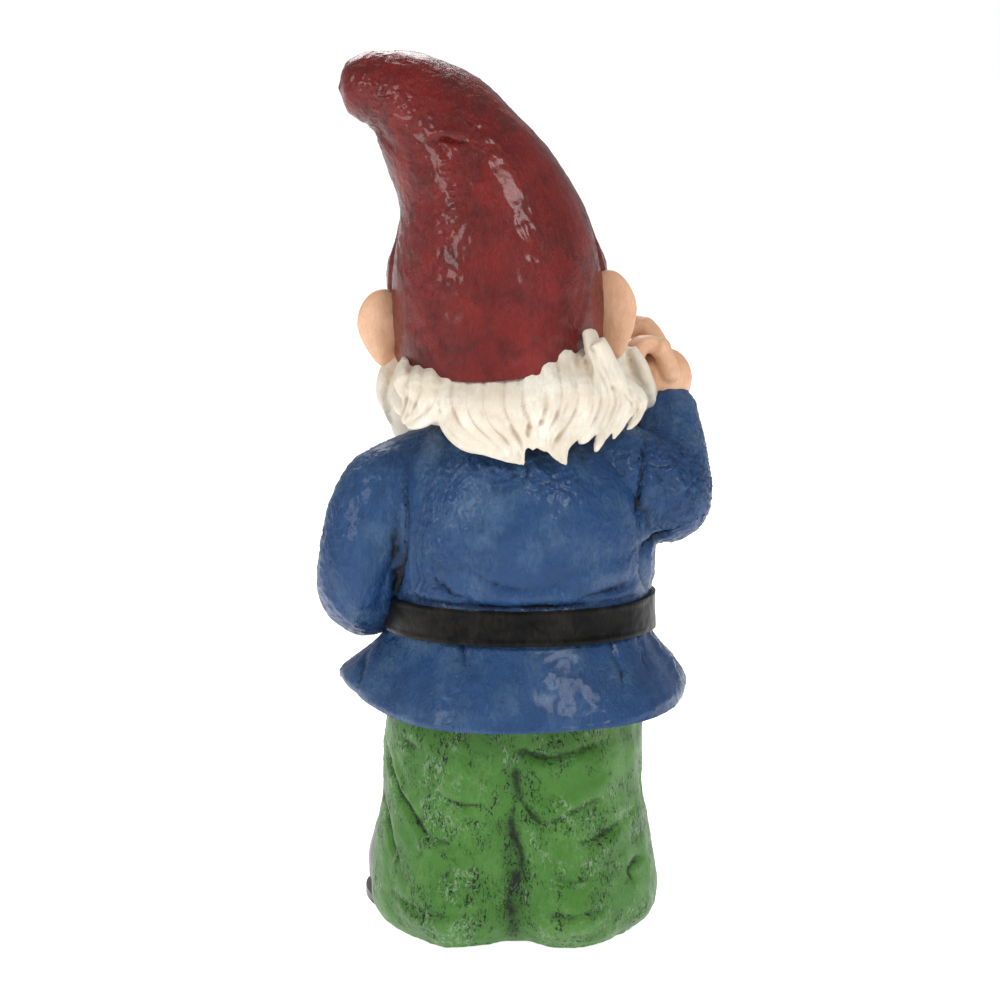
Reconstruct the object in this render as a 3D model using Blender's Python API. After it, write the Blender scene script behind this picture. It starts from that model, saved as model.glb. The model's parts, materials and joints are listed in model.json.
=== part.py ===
"""Garden gnome: a hollow cast-resin figure, split into the castings that it is bonded from.

Metres, +Z up, the gnome faces -Y and its own left hand is at +X. The origin is on the floor, at the
middle of the closing plate. Every organic shape is either a loft (rings of vertices extruded along a
row of stations) or clay (primitives fused by a voxel remesh). Neighbouring castings are then cut to
each other with a bond line between them.
"""

import math

import bmesh
import bpy
from mathutils import Matrix, Vector

# ---------------------------------------------------------------- driving dimensions
BOND = 0.0003  # clearance that two neighbouring castings keep for the adhesive
WALL = 0.005  # wall of the slush-cast shells
HAT_WALL = 0.004
SEGMENTS = 28  # vertices round a body ring
FRONT = Vector((0, -1, 0))

BELT_BOTTOM, BELT_TOP = 0.1400, 0.1560
BELT_THICK = 0.0028
HEM_Z = 0.1055
TROUSER_TOP = BELT_BOTTOM
PLATE_THICK = 0.005
PLUG_RADIUS = 0.0095
PLUG_PLACE = Vector((0.024, 0.014, 0))

# The head leans 3.5 degrees to the gnome's left, about its own middle.
HEAD_PLACE = Vector((0.0065, -0.001, 0.270))
HEAD_POSE = Matrix.Translation(HEAD_PLACE) @ Matrix.Rotation(math.radians(3.5), 4, "Y")
EAR_SPAN = 0.0515
EYE_SPAN = 0.0150

# A station is (x, y, z, half width, depth towards the front, depth towards the back).
TROUSERS = [
    (-0.0005, 0, 0.0010, 0.0560, 0.0500, 0.0440),
    (-0.0005, 0, 0.0120, 0.0655, 0.0560, 0.0520),
    (-0.0005, 0, 0.0350, 0.0640, 0.0550, 0.0510),
    (0.0000, 0, 0.0650, 0.0595, 0.0540, 0.0500),
    (-0.0005, 0, 0.0950, 0.0585, 0.0550, 0.0510),
    (-0.0030, 0, TROUSER_TOP, 0.0534, 0.0564, 0.0499),
]
SKIRT = [
    (-0.0030, 0, BELT_BOTTOM + 0.0003, 0.0590, 0.0620, 0.0555),
    (-0.0028, 0, 0.1330, 0.0625, 0.0660, 0.0595),
    (-0.0024, 0, 0.1230, 0.0695, 0.0725, 0.0660),
    (-0.0020, 0, 0.1120, 0.0755, 0.0780, 0.0720),
    (-0.0020, 0, HEM_Z, 0.0765, 0.0790, 0.0730),
]
TORSO = [
    (-0.0030, 0, BELT_BOTTOM + 0.0006, 0.0590, 0.0620, 0.0555),
    (-0.0030, 0, 0.1550, 0.0595, 0.0630, 0.0560),
    (-0.0030, 0, 0.1750, 0.0615, 0.0625, 0.0580),
    (-0.0020, 0, 0.1980, 0.0590, 0.0580, 0.0570),
    (0.0010, 0, 0.2180, 0.0490, 0.0480, 0.0490),
    (0.0040, 0, 0.2300, 0.0340, 0.0340, 0.0350),
    (0.0050, 0, 0.2340, 0.0250, 0.0250, 0.0260),
]
HEAD = [  # about the head's own middle
    (0, 0, -0.0520, 0.0195, 0.0195, 0.0195),
    (0, 0, -0.0400, 0.0205, 0.0210, 0.0210),
    (0, 0, -0.0330, 0.0330, 0.0360, 0.0320),
    (0, 0, -0.0160, 0.0440, 0.0460, 0.0420),
    (0, 0, 0.0000, 0.0455, 0.0470, 0.0450),
    (0, 0, 0.0160, 0.0430, 0.0440, 0.0450),
    (0, 0, 0.0310, 0.0350, 0.0360, 0.0380),
    (0, 0, 0.0420, 0.0180, 0.0190, 0.0200),
]
HAT = [
    (0.0065, 0, 0.2680, 0.0470, 0.0560, 0.0540),
    (0.0070, 0, 0.2900, 0.0472, 0.0540, 0.0520),
    (0.0095, 0, 0.3150, 0.0448, 0.0480, 0.0470),
    (0.0155, 0, 0.3360, 0.0386, 0.0410, 0.0410),
    (0.0245, 0, 0.3530, 0.0325, 0.0345, 0.0345),
    (0.0360, 0, 0.3675, 0.0285, 0.0285, 0.0285),
    (0.0490, 0, 0.3785, 0.0220, 0.0225, 0.0225),
    (0.0600, 0, 0.3830, 0.0172, 0.0175, 0.0175),
    (0.0680, 0, 0.3838, 0.0150, 0.0150, 0.0150),
    (0.0750, 0, 0.3836, 0.0105, 0.0105, 0.0105),
    (0.0780, 0, 0.3834, 0.0035, 0.0035, 0.0035),
]
HAT_RIM_SLOPE = {"front": 0.42, "back": 0.20}  # the rim rises from the nape to the brow
BEARD = [
    (0.0030, -0.062, 0.1760, 0.0080, 0.0080, 0.0060),
    (0.0020, -0.055, 0.1880, 0.0230, 0.0170, 0.0150),
    (0.0010, -0.043, 0.2060, 0.0400, 0.0240, 0.0250),
    (0.0000, -0.026, 0.2250, 0.0530, 0.0340, 0.0250),
    (-0.0015, -0.014, 0.2420, 0.0590, 0.0400, 0.0230),
    (0.0030, -0.010, 0.2560, 0.0540, 0.0340, 0.0170),
    (0.0070, -0.008, 0.2680, 0.0460, 0.0240, 0.0100),
]
BEARD_LOCKS = 13
HAIR = [
    (0.0010, 0.006, 0.2300, 0.0500, 0.0050, 0.0560),
    (0.0010, 0.006, 0.2400, 0.0520, 0.0050, 0.0550),
    (0.0025, 0.006, 0.2500, 0.0480, 0.0050, 0.0470),
    (0.0060, 0.004, 0.2650, 0.0360, 0.0050, 0.0380),
]
HAIR_LOCKS = 13
# A limb's points are (x, y, z, radius).
RIGHT_ARM = [
    (-0.0400, 0.002, 0.2100, 0.0235),
    (-0.0570, 0.000, 0.2060, 0.0230),
    (-0.0700, -0.004, 0.1985, 0.0205),
    (-0.0710, -0.018, 0.2180, 0.0180),
    (-0.0695, -0.030, 0.2410, 0.0160),
]
LEFT_ARM = [
    (0.0400, 0.000, 0.2060, 0.0235),
    (0.0590, 0.000, 0.1970, 0.0215),
    (0.0700, 0.000, 0.1640, 0.0200),
    (0.0660, -0.026, 0.1500, 0.0180),
    (0.0520, -0.056, 0.1505, 0.0160),
]
CUFF_DEPTH = 0.010
BOOT_TOE_OUT = math.radians(15)
SOLE_THICK = 0.0045
BOOT = [  # about the heel, toe towards -Y
    (0, -0.030, SOLE_THICK + BOND, 0.0215, 0.0455, 0.0270),
    (0, -0.030, 0.0100, 0.0235, 0.0480, 0.0285),
    (0, -0.029, 0.0220, 0.0228, 0.0450, 0.0270),
    (0, -0.026, 0.0340, 0.0200, 0.0350, 0.0230),
    (0, -0.022, 0.0440, 0.0165, 0.0240, 0.0190),
    (0, -0.020, 0.0490, 0.0080, 0.0120, 0.0100),
]
BOOT_HEELS = {"left": Vector((0.031, -0.008, 0)), "right": Vector((-0.031, -0.008, 0))}

# ---------------------------------------------------------------- paints
PAINTS = {  # base colour, roughness, metallic
    "hat_red": ((0.25, 0.028, 0.022), 0.35, 0.0),
    "skin": ((0.78, 0.50, 0.33), 0.45, 0.0),
    "hair_white": ((0.78, 0.70, 0.56), 0.50, 0.0),
    "tunic_blue": ((0.045, 0.115, 0.27), 0.38, 0.0),
    "belt_black": ((0.02, 0.019, 0.018), 0.35, 0.0),
    "buckle_gold": ((0.65, 0.42, 0.13), 0.35, 0.6),
    "trouser_green": ((0.085, 0.23, 0.05), 0.45, 0.0),
    "boot_brown": ((0.035, 0.028, 0.024), 0.35, 0.0),
    "eye_white": ((0.80, 0.78, 0.72), 0.25, 0.0),
    "bare_resin": ((0.36, 0.33, 0.29), 0.80, 0.0),
    "plug_rubber": ((0.03, 0.03, 0.03), 0.75, 0.0),
}


def paint(name):
    """The named paint as a Principled material, made once."""
    material = bpy.data.materials.get(name)
    if material is None:
        colour, roughness, metallic = PAINTS[name]
        material = bpy.data.materials.new(name)
        material.use_nodes = True
        shader = material.node_tree.nodes["Principled BSDF"]
        shader.inputs["Base Color"].default_value = (*colour, 1)
        shader.inputs["Roughness"].default_value = roughness
        shader.inputs["Metallic"].default_value = metallic
    return material


# ---------------------------------------------------------------- objects and modifiers
def place(name, bm, finish=None):
    """Puts a finished bmesh in the scene, smooth-shaded. With no finish it is a guide, and not a part.

    It is triangulated here, so that a casting and the guide cut from it bend along the same edges.
    """
    bmesh.ops.triangulate(bm, faces=bm.faces)
    mesh = bpy.data.meshes.new(name)
    bm.to_mesh(mesh)
    bm.free()
    mesh.shade_smooth()
    obj = bpy.data.objects.new(name, mesh)
    bpy.context.scene.collection.objects.link(obj)
    if finish:
        mesh.materials.append(paint(finish))
    else:
        obj.hide_render = True
        obj.display_type = "WIRE"
    return obj


def settle(obj):
    """Applies the object's modifiers, and keeps only its largest body."""
    graph = bpy.context.evaluated_depsgraph_get()
    graph.update()
    mesh = bpy.data.meshes.new_from_object(obj.evaluated_get(graph))
    obj.modifiers.clear()
    bm = bmesh.new()
    bm.from_mesh(mesh)
    bmesh.ops.remove_doubles(bm, verts=bm.verts, dist=0.00002)
    bmesh.ops.dissolve_degenerate(bm, edges=bm.edges, dist=0.00002)
    bmesh.ops.triangulate(bm, faces=bm.faces)
    drop_small_bodies(bm)
    bm.to_mesh(mesh)
    bm.free()
    obj.data = mesh
    mesh.shade_smooth()


def drop_small_bodies(bm):
    """Deletes every connected body but the one with the most vertices."""
    left = set(bm.verts)
    bodies = []
    while left:
        body, edge = set(), [left.pop()]
        while edge:
            vert = edge.pop()
            body.add(vert)
            near = {e.other_vert(vert) for e in vert.link_edges} & left
            left -= near
            edge.extend(near)
        bodies.append(body)
    bodies.sort(key=len)
    for body in bodies[:-1]:
        bmesh.ops.delete(bm, geom=list(body), context="VERTS")


def swollen(source, gap):
    """A guide the shape of source, grown by gap all over."""
    bm = bmesh.new()
    bm.from_mesh(source.data)
    bm.normal_update()
    for vert in bm.verts:
        vert.co += vert.normal * gap
    return place(source.name + "_cutter", bm)


def cut(target, *guides, gap=BOND, operation="DIFFERENCE"):
    """Cuts target back from each guide, leaving the bond line between them."""
    for guide in guides:
        tool = swollen(guide, gap)
        step = target.modifiers.new("cut", "BOOLEAN")
        step.operation = operation
        step.object = tool
        step.solver = "EXACT"
        settle(target)
        bpy.data.objects.remove(tool)


# ---------------------------------------------------------------- lofts
def along(rows, t):
    """The row of numbers at t, from 0 to 1, on a smooth curve through the given rows."""
    last = len(rows) - 1
    where = min(max(t, 0.0), 1.0) * last
    k = min(int(where), last - 1)
    f = where - k
    p, q, r, s = (rows[min(max(i, 0), last)] for i in (k - 1, k, k + 1, k + 2))
    return [
        b + 0.5 * f * (c - a + f * (2 * a - 5 * b + 4 * c - d + f * (3 * (b - c) + d - a)))
        for a, b, c, d in zip(p, q, r, s)
    ]


def ring_point(row, axis, turn):
    """The point of a station's outline at an angle: 0 is +X, a quarter turn is the front."""
    x, y, z, width, front, back = row
    side = axis.cross(FRONT).normalized()
    fore = side.cross(axis).normalized()
    depth = front if math.sin(turn) > 0 else back
    return Vector((x, y, z)) + side * width * math.cos(turn) + fore * depth * math.sin(turn)


def loft(stations, rings, segments=SEGMENTS, level=True):
    """A closed bmesh through the stations, with the faces that close its two ends.

    Its rings lie level, or square to the path that the stations follow.
    """
    bm = bmesh.new()
    slot = bm.verts.layers.int.new("slot")
    ring = bmesh.ops.create_circle(bm, segments=segments, radius=1.0)["verts"]
    for number, vert in enumerate(ring):
        vert[slot] = number
    ends = []
    for k in range(rings):
        t = k / (rings - 1)
        if k:
            edges = {e for v in ring for e in v.link_edges if e.other_vert(v) in ring_set}
            made = bmesh.ops.extrude_edge_only(bm, edges=list(edges))["geom"]
            ring = [g for g in made if isinstance(g, bmesh.types.BMVert)]
        ring_set = set(ring)
        ahead, behind = along(stations, t + 0.01), along(stations, t - 0.01)
        axis = Vector((0, 0, 1)) if level else (Vector(ahead[:3]) - Vector(behind[:3])).normalized()
        row = along(stations, t)
        for vert in ring:
            vert.co = ring_point(row, axis, math.tau * vert[slot] / segments)
        if k in (0, rings - 1):
            edges = {e for v in ring for e in v.link_edges if e.other_vert(v) in ring_set}
            ends.append(bmesh.ops.contextual_create(bm, geom=list(edges))["faces"][0])
    bmesh.ops.recalc_face_normals(bm, faces=bm.faces)
    return bm, ends


def shell(obj, wall):
    """Gives an open surface its wall, inwards, and settles it."""
    step = obj.modifiers.new("wall", "SOLIDIFY")
    step.thickness = wall
    step.offset = -1
    step.use_even_offset = True
    step.use_rim = True
    settle(obj)


def cast_loft(name, stations, rings, finish, open_ends, sculpt=None, wall=WALL, level=True):
    """The outer skin as a guide, and the casting itself: the same skin, opened and given a wall."""
    bm, ends = loft(stations, rings, level=level)
    for vert in bm.verts:
        if sculpt:
            sculpt(vert)
    guide = place(name + "_skin", bm.copy())
    doomed = [end for end, is_open in zip(ends, open_ends) if is_open]
    if doomed:
        bmesh.ops.delete(bm, geom=doomed, context="FACES_ONLY")
    obj = place(name, bm, finish)
    if doomed:
        shell(obj, wall)
    return guide, obj


# ---------------------------------------------------------------- clay
def ball(bm, centre, radii, turn=None, segments=16):
    """An ellipsoid."""
    matrix = Matrix.Translation(centre) @ (turn or Matrix()) @ Matrix.Diagonal((*radii, 1))
    bmesh.ops.create_uvsphere(
        bm, u_segments=segments, v_segments=segments // 2 + 2, radius=1, matrix=matrix
    )


def rod(bm, start, end, radius, end_radius):
    """A tapered bar between two points."""
    start, end = Vector(start), Vector(end)
    run = end - start
    matrix = Matrix.Translation((start + end) / 2) @ run.to_track_quat("Z", "Y").to_matrix().to_4x4()
    bmesh.ops.create_cone(
        bm, cap_ends=True, segments=16, radius1=radius, radius2=end_radius, depth=run.length,
        matrix=matrix,
    )


def limb(bm, points):
    """A chain of balls joined by tapered bars, through (x, y, z, radius) points."""
    for point in points:
        ball(bm, Vector(point[:3]), (point[3],) * 3)
    for a, b in zip(points, points[1:]):
        rod(bm, a[:3], b[:3], a[3], b[3])


def fuse(name, bm, voxel, finish=None, smooth=4, keep=0.4):
    """Fuses the overlapping primitives of a bmesh into one smooth closed skin, then thins its mesh."""
    obj = place(name, bm, finish)
    skin = obj.modifiers.new("fuse", "REMESH")
    skin.mode = "VOXEL"
    skin.voxel_size = voxel
    soft = obj.modifiers.new("soften", "SMOOTH")
    soft.iterations = smooth
    soft.factor = 0.5
    thin = obj.modifiers.new("thin", "DECIMATE")
    thin.ratio = keep
    settle(obj)
    return obj


# ---------------------------------------------------------------- sculpted rules
def leg_crease(vert):
    """Rounds each trouser leg, back and front, and draws in the crease between them."""
    x, y, z = vert.co
    low = max(0.0, 1 - z / 0.110)
    swell = 0.010 * math.exp(-(((abs(x) - 0.032) / 0.018) ** 2))
    crease = 0.015 * math.exp(-((x / 0.010) ** 2))
    vert.co.y += math.copysign(low, y) * (swell - crease)


def hem_wave(vert):
    """Lets the skirt's hem swing in and out, and draws its left front corner out."""
    x, y, z = vert.co
    low = min(max((BELT_BOTTOM - z) / (BELT_BOTTOM - HEM_Z), 0), 1)
    turn = math.atan2(y, x)
    out = Vector((math.cos(turn), math.sin(turn), 0))
    vert.co += out * low * 0.0022 * math.cos(5 * turn + 0.6)
    vert.co.z += low * 0.0016 * math.sin(4 * turn)


def rim_slope(vert):
    """Tips the hat's rim up at the front and round its crown."""
    x, y, z = vert.co
    fade = min(max((0.320 - z) / 0.050, 0), 1)
    slope = HAT_RIM_SLOPE["front" if y < 0 else "back"]
    if y < 0:  # the temples bulge over the ears
        vert.co.x += math.copysign(0.005, x) * math.exp(-(((z - 0.300) / 0.016) ** 2) - ((y + 0.02) / 0.02) ** 2)
    vert.co.z -= fade * (slope * y + 0.06 * (x - HEAD_PLACE.x))


# ---------------------------------------------------------------- castings
def make_trousers():
    return cast_loft("trousers", TROUSERS, 11, "trouser_green", (True, True), leg_crease)


def make_skirt():
    return cast_loft("tunic_skirt", SKIRT, 7, "tunic_blue", (True, True), hem_wave)


def make_torso():
    return cast_loft("tunic_body", TORSO, 11, "tunic_blue", (True, True))


def make_head():
    """The head, hollow through its neck spigot."""

    def lean(vert):
        vert.co = HEAD_POSE @ vert.co

    return cast_loft("head", HEAD, 13, "skin", (True, False), lean)


def make_hat():
    return cast_loft("hat", HAT, 14, "hat_red", (True, False), rim_slope, HAT_WALL, level=False)


def make_belt():
    """The cast strap: a closed ring round the waist, over the joint of tunic body and skirt."""
    x, y, _, width, front, back = TORSO[0]
    rows = [
        (x, y, z, width + BELT_THICK + BOND, front + BELT_THICK + 0.0012, back + BELT_THICK + 0.0008)
        for z in (BELT_BOTTOM, (BELT_BOTTOM + BELT_TOP) / 2, BELT_TOP)
    ]
    return cast_loft("belt_strap", rows, 3, "belt_black", (False, False))


def make_buckle(front_y):
    """A square frame standing on the belt, and its prong."""
    middle = Vector((TORSO[0][0], front_y, (BELT_BOTTOM + BELT_TOP) / 2))
    outer, inner, thick, bevel = 0.0125, 0.0080, 0.0032, 0.0012
    bm = bmesh.new()
    bmesh.ops.create_cube(
        bm, matrix=Matrix.Translation(middle) @ Matrix.Diagonal((2 * outer, thick, 2 * outer, 1))
    )
    flat = [f for f in bm.faces if abs(f.normal.y) > 0.9]
    bmesh.ops.inset_individual(bm, faces=flat, thickness=outer - inner)
    rims = list({e for f in flat for e in f.edges})
    bmesh.ops.delete(bm, geom=flat, context="FACES_ONLY")
    bmesh.ops.bridge_loops(bm, edges=rims)
    bmesh.ops.bevel(
        bm, geom=list(bm.edges), offset=bevel, segments=2, affect="EDGES", profile=0.5, material=-1
    )
    bmesh.ops.recalc_face_normals(bm, faces=bm.faces)
    frame = place("buckle_frame", bm, "buckle_gold")
    bm = bmesh.new()
    limb(
        bm,
        [
            (middle.x - outer + 0.0030, middle.y - 0.0045, middle.z, 0.0015),
            (middle.x + outer - 0.0010, middle.y - 0.0040, middle.z, 0.0013),
        ],
    )
    prong = fuse("buckle_prong", bm, 0.0008, "buckle_gold", 2, 0.25)
    return frame, prong


def make_arm(name, points):
    """A solid-cast sleeve: its cuff ends square, and a socket in it takes the hand's wrist."""
    bm = bmesh.new()
    limb(bm, points)
    arm = fuse(name, bm, 0.0040, "tunic_blue", keep=0.3)
    wrist, before = Vector(points[-1][:3]), Vector(points[-2][:3])
    run = (wrist - before).normalized()
    radius = points[-1][3]
    bm = bmesh.new()
    rod(bm, wrist, wrist + run * 0.040, 0.040, 0.040)
    square = place("cuff_plane", bm)
    cut(arm, square, gap=0)
    bpy.data.objects.remove(square)
    bm = bmesh.new()
    rod(bm, wrist - run * CUFF_DEPTH, wrist + run * 0.020, radius - 0.0040, radius - 0.0035)
    socket = place("cuff_socket", bm)
    cut(arm, socket, gap=0)
    bpy.data.objects.remove(socket)
    return arm


def make_hand(name, wrist, run, palm, thumb_side, index=()):
    """A closed fist on a wrist peg. run points along the hand, palm out of the palm.

    The index finger follows the points given for it, or else curls like the rest.
    """
    run, palm = Vector(run).normalized(), Vector(palm).normalized()
    across = run.cross(palm).normalized()
    if across.dot(Vector(thumb_side)) < 0:
        across = -across
    wrist = Vector(wrist)

    def at(along_run, along_palm, along_thumb):
        return wrist + run * along_run + palm * along_palm + across * along_thumb

    def finger(points, radius):
        limb(bm, [(*at(*p), radius * (1 - 0.06 * k)) for k, p in enumerate(points)])

    bm = bmesh.new()
    limb(bm, [(*at(-0.0075, 0, 0), 0.0098), (*at(0.006, 0, 0), 0.0094)])
    ball(bm, at(0.0125, 0, 0), (0.0105, 0.0090, 0.0105))
    for k, side in enumerate((-0.0085, -0.0029, 0.0029)):
        finger(
            [(0.014, -0.001, side), (0.0225, 0.002, side), (0.0235, 0.0085, side), (0.0165, 0.0115, side)],
            0.0036 - 0.0002 * abs(k - 1),
        )
    if index:
        root = [at(0.012, -0.001, 0.0070), at(0.020, -0.001, 0.0070), *index]
        limb(bm, [(*point, 0.0052 - 0.0004 * k) for k, point in enumerate(root)])
    else:
        finger([(0.014, -0.001, 0.0085), (0.0225, 0.002, 0.0085), (0.0235, 0.0085, 0.0080)], 0.0037)
    finger([(0.005, 0.003, 0.0090), (0.012, 0.008, 0.0135), (0.019, 0.0125, 0.0085)], 0.0040)
    return fuse(name, bm, 0.0015, "skin", 2, 0.16)


def make_boot(side):
    """A round-toed boot and its flat sole, turned a little outwards."""
    sign = 1 if side == "left" else -1
    pose = Matrix.Translation(BOOT_HEELS[side]) @ Matrix.Rotation(sign * BOOT_TOE_OUT, 4, "Z")
    bm, _ = loft(BOOT, 10, 24)
    bmesh.ops.transform(bm, matrix=pose, verts=bm.verts)
    boot = place("boot_" + side, bm, "boot_brown")
    x, y, _, width, front, back = BOOT[1]
    welt = [(x, y, z, width + 0.0015, front + 0.0015, back + 0.0015) for z in (0, SOLE_THICK)]
    bm, _ = loft(welt, 2, 24)
    bmesh.ops.transform(bm, matrix=pose, verts=bm.verts)
    return boot, place("sole_" + side, bm, "boot_brown")


def make_plate():
    """The closing plate in the trousers' bottom, with a stepped hole for the plug."""
    bm = bmesh.new()
    bmesh.ops.create_circle(bm, cap_ends=True, segments=32, radius=1.0)
    for vert in bm.verts:
        x, y, _ = vert.co
        vert.co = Vector((x * 0.0470, y * 0.0340, 0))
    top = bmesh.ops.extrude_face_region(bm, geom=list(bm.faces))["geom"]
    bmesh.ops.translate(
        bm, vec=(0, 0, PLATE_THICK), verts=[g for g in top if isinstance(g, bmesh.types.BMVert)]
    )
    bmesh.ops.recalc_face_normals(bm, faces=bm.faces)
    plate = place("closing_plate", bm, "bare_resin")
    bm = bmesh.new()
    rod(bm, PLUG_PLACE - Vector((0, 0, 0.01)), PLUG_PLACE + Vector((0, 0, 0.02)), PLUG_RADIUS, PLUG_RADIUS)
    hole = place("plug_hole", bm)
    cut(plate, hole, gap=0)
    bpy.data.objects.remove(hole)
    return plate


def make_plug():
    """The rubber plug of the vent hole, a turned profile with a snap groove."""
    profile = [
        (0.0000, 0.0090), (0.0085, 0.0090), (0.0104, 0.0066), (0.0104, PLATE_THICK + BOND),
        (PLUG_RADIUS - BOND, PLATE_THICK + BOND), (PLUG_RADIUS - BOND, 0.0008), (0.0000, 0.0008),
    ]
    bm = bmesh.new()
    verts = [bm.verts.new((r, 0, z)) for r, z in profile]
    edges = [bm.edges.new(pair) for pair in zip(verts, verts[1:])]
    bmesh.ops.spin(
        bm, geom=verts + edges, cent=(0, 0, 0), axis=(0, 0, 1), angle=math.tau, steps=24,
        use_merge=True,
    )
    bmesh.ops.remove_doubles(bm, verts=bm.verts, dist=0.00001)
    bmesh.ops.recalc_face_normals(bm, faces=bm.faces)
    bmesh.ops.translate(bm, vec=PLUG_PLACE, verts=bm.verts)
    return place("drain_plug", bm, "plug_rubber")


def make_ear(side):
    """A rounded ear, flat at the back, hollowed at the front."""
    sign = 1 if side == "left" else -1
    tall = 0.0175 if side == "left" else 0.0200
    bm = bmesh.new()
    lean = Matrix.Rotation(sign * math.radians(-12), 4, "Y") @ Matrix.Rotation(sign * math.radians(18), 4, "Z")
    ball(bm, Vector((sign * EAR_SPAN, 0.002, 0.009)), (0.0125, 0.0060, tall), lean, 18)
    bmesh.ops.transform(bm, matrix=HEAD_POSE, verts=bm.verts)
    return place("ear_" + side, bm, "skin")


def make_face_piece(name, finish, points, flat=1.0):
    """A small clay piece of the face, given about the head's own middle."""
    bm = bmesh.new()
    limb(bm, points)
    if flat != 1.0:
        middle = sum((v.co for v in bm.verts), Vector()) / len(bm.verts)
        bmesh.ops.scale(bm, vec=(1, flat, 1), space=Matrix.Translation(-middle), verts=bm.verts)
    bmesh.ops.transform(bm, matrix=HEAD_POSE, verts=bm.verts)
    return fuse(name, bm, 0.0014, finish, 2, 0.2)


def make_locks(name, stations, locks):
    """A mass of hair: a core loft, with tapered locks lying down its outside, fused together."""
    bm, _ = loft(stations, 7)
    for points in locks:
        limb(bm, points)
    return fuse(name, bm, 0.0030, "hair_white", 1, 0.20)


def lock_down(stations, turn, end, swing, radius, tip_drop, start=1.0):
    """The points of one lock, down the outside of a loft at an angle, from t=start to t=end."""
    points = []
    for k in range(5):
        f = k / 4
        row = along(stations, start + (end - start) * f)
        where = ring_point(row, Vector((0, 0, 1)), turn + swing * math.sin(math.pi * f))
        where.z -= tip_drop * f * f
        points.append((*where, radius * (1 - 0.75 * f * f) * (0.7 + 0.3 * min(1, 4 * f))))
    return points


def make_beard():
    locks = []
    for k in range(BEARD_LOCKS):
        side = 2 * k / (BEARD_LOCKS - 1) - 1  # -1 at the right cheek, 1 at the left
        turn = math.radians(90 - 88 * side)
        top = 0.93 - 0.24 * (1 - abs(side) ** 2)
        low = 0.50 * abs(side) ** 1.5
        locks.append(lock_down(BEARD, turn, low, 0.10 * (-1) ** k, 0.0066, 0.006, top))
    return make_locks("beard", BEARD, locks)


def make_hair():
    locks = []
    for k in range(HAIR_LOCKS):
        turn = math.radians(-186 * k / (HAIR_LOCKS - 1) + 3)
        locks.append(lock_down(HAIR, turn, 0.0, 0.09 * (-1) ** k, 0.0060, 0.005 + 0.003 * (k % 2)))
    return make_locks("hair_back", HAIR, locks)


def main():
    for old in list(bpy.data.objects):
        bpy.data.objects.remove(old)

    trousers_skin, trousers = make_trousers()
    skirt_skin, skirt = make_skirt()
    torso_skin, torso = make_torso()
    belt_skin, belt = make_belt()
    hat_skin, hat = make_hat()
    head_skin, head = make_head()
    cut(torso, head_skin)
    cut(belt, torso_skin, skirt_skin)
    frame, prong = make_buckle(-(TORSO[0][4] + BELT_THICK + 0.0012) - 0.0018)

    plate = make_plate()
    make_plug()
    cut(trousers, plate)
    for side in ("left", "right"):
        boot, sole = make_boot(side)
        cut(trousers, boot, sole)
        cut(plate, boot, sole)

    arms = {"left": make_arm("sleeve_left", LEFT_ARM), "right": make_arm("sleeve_right", RIGHT_ARM)}
    for arm in arms.values():
        cut(arm, torso_skin, belt_skin, skirt_skin)
    left_hand = make_hand(
        "hand_left", LEFT_ARM[-1][:3], (-0.80, -0.50, 0.12), (-0.35, 0.90, 0), (0, 0, 1)
    )
    right_hand = make_hand(
        "hand_right", RIGHT_ARM[-1][:3], (0.05, -0.10, 1), (1, 0.15, 0), (0, -1, 0),
        [(-0.0610, -0.0440, 0.2735), (-0.0430, -0.0430, 0.2680)],
    )
    cut(left_hand, torso_skin, belt_skin, arms["left"])
    cut(right_hand, arms["right"], head_skin)

    ears = [make_ear("left"), make_ear("right")]
    nose = make_face_piece("nose", "skin", [(0, -0.051, -0.008, 0.0115), (0, -0.046, 0.002, 0.0080)])
    eyes = [
        make_face_piece("eye_" + side, "eye_white", [(sign * EYE_SPAN, -0.0415, 0.0050, 0.0062)])
        for side, sign in (("left", 1), ("right", -1))
    ]
    brows = [
        make_face_piece(
            "brow_" + side, "hair_white",
            [(sign * 0.0070, -0.0460, 0.0135, 0.0030), (sign * 0.0160, -0.0430, 0.0160, 0.0036),
             (sign * 0.0260, -0.0370, 0.0120, 0.0026)],
        )
        for side, sign in (("left", 1), ("right", -1))
    ]
    moustache = [
        make_face_piece(
            "moustache_" + side, "hair_white",
            [(sign * 0.0050, -0.0540, -0.0200, 0.0055), (sign * 0.0150, -0.0540, -0.0235, 0.0070),
             (sign * 0.0270, -0.0480, -0.0250, 0.0054), (sign * 0.0370, -0.0410, -0.0190, 0.0030)],
        )
        for side, sign in (("left", 1), ("right", -1))
    ]
    beard = make_beard()
    hair = make_hair()

    cut(nose, head_skin)
    cut(moustache[0], head_skin, nose)
    cut(moustache[1], head_skin, nose, moustache[0])
    for piece in (*eyes, *brows):
        cut(piece, head_skin)
    cut(hat, head_skin)
    for ear in ears:
        cut(ear, head_skin, hat)
    cut(beard, head_skin, hat, torso_skin, nose, *moustache, right_hand, arms["right"], arms["left"], *ears)
    cut(hair, head_skin, hat, torso_skin, beard, *ears, *arms.values())
    cut(skirt, trousers_skin)


main()
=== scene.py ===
# %% [markdown]
# # A garden gnome
#
# The real figure is cast in resin, painted by hand, and then rubbed with a thin dark wash that
# stays in every hollow. Its looks come from three things: big soft shapes, carved creases and hair,
# and that wash. Each piece below is modelled at the place its casting has in the frame, sculpted by
# pushing its points along their normals, and painted by a recipe that reads how hollow each point is.

# %% Tools, and the frame that every piece rides on
import json
import math

import bmesh
import bpy
import numpy as np
from mathutils import Matrix, Vector, noise

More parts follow.
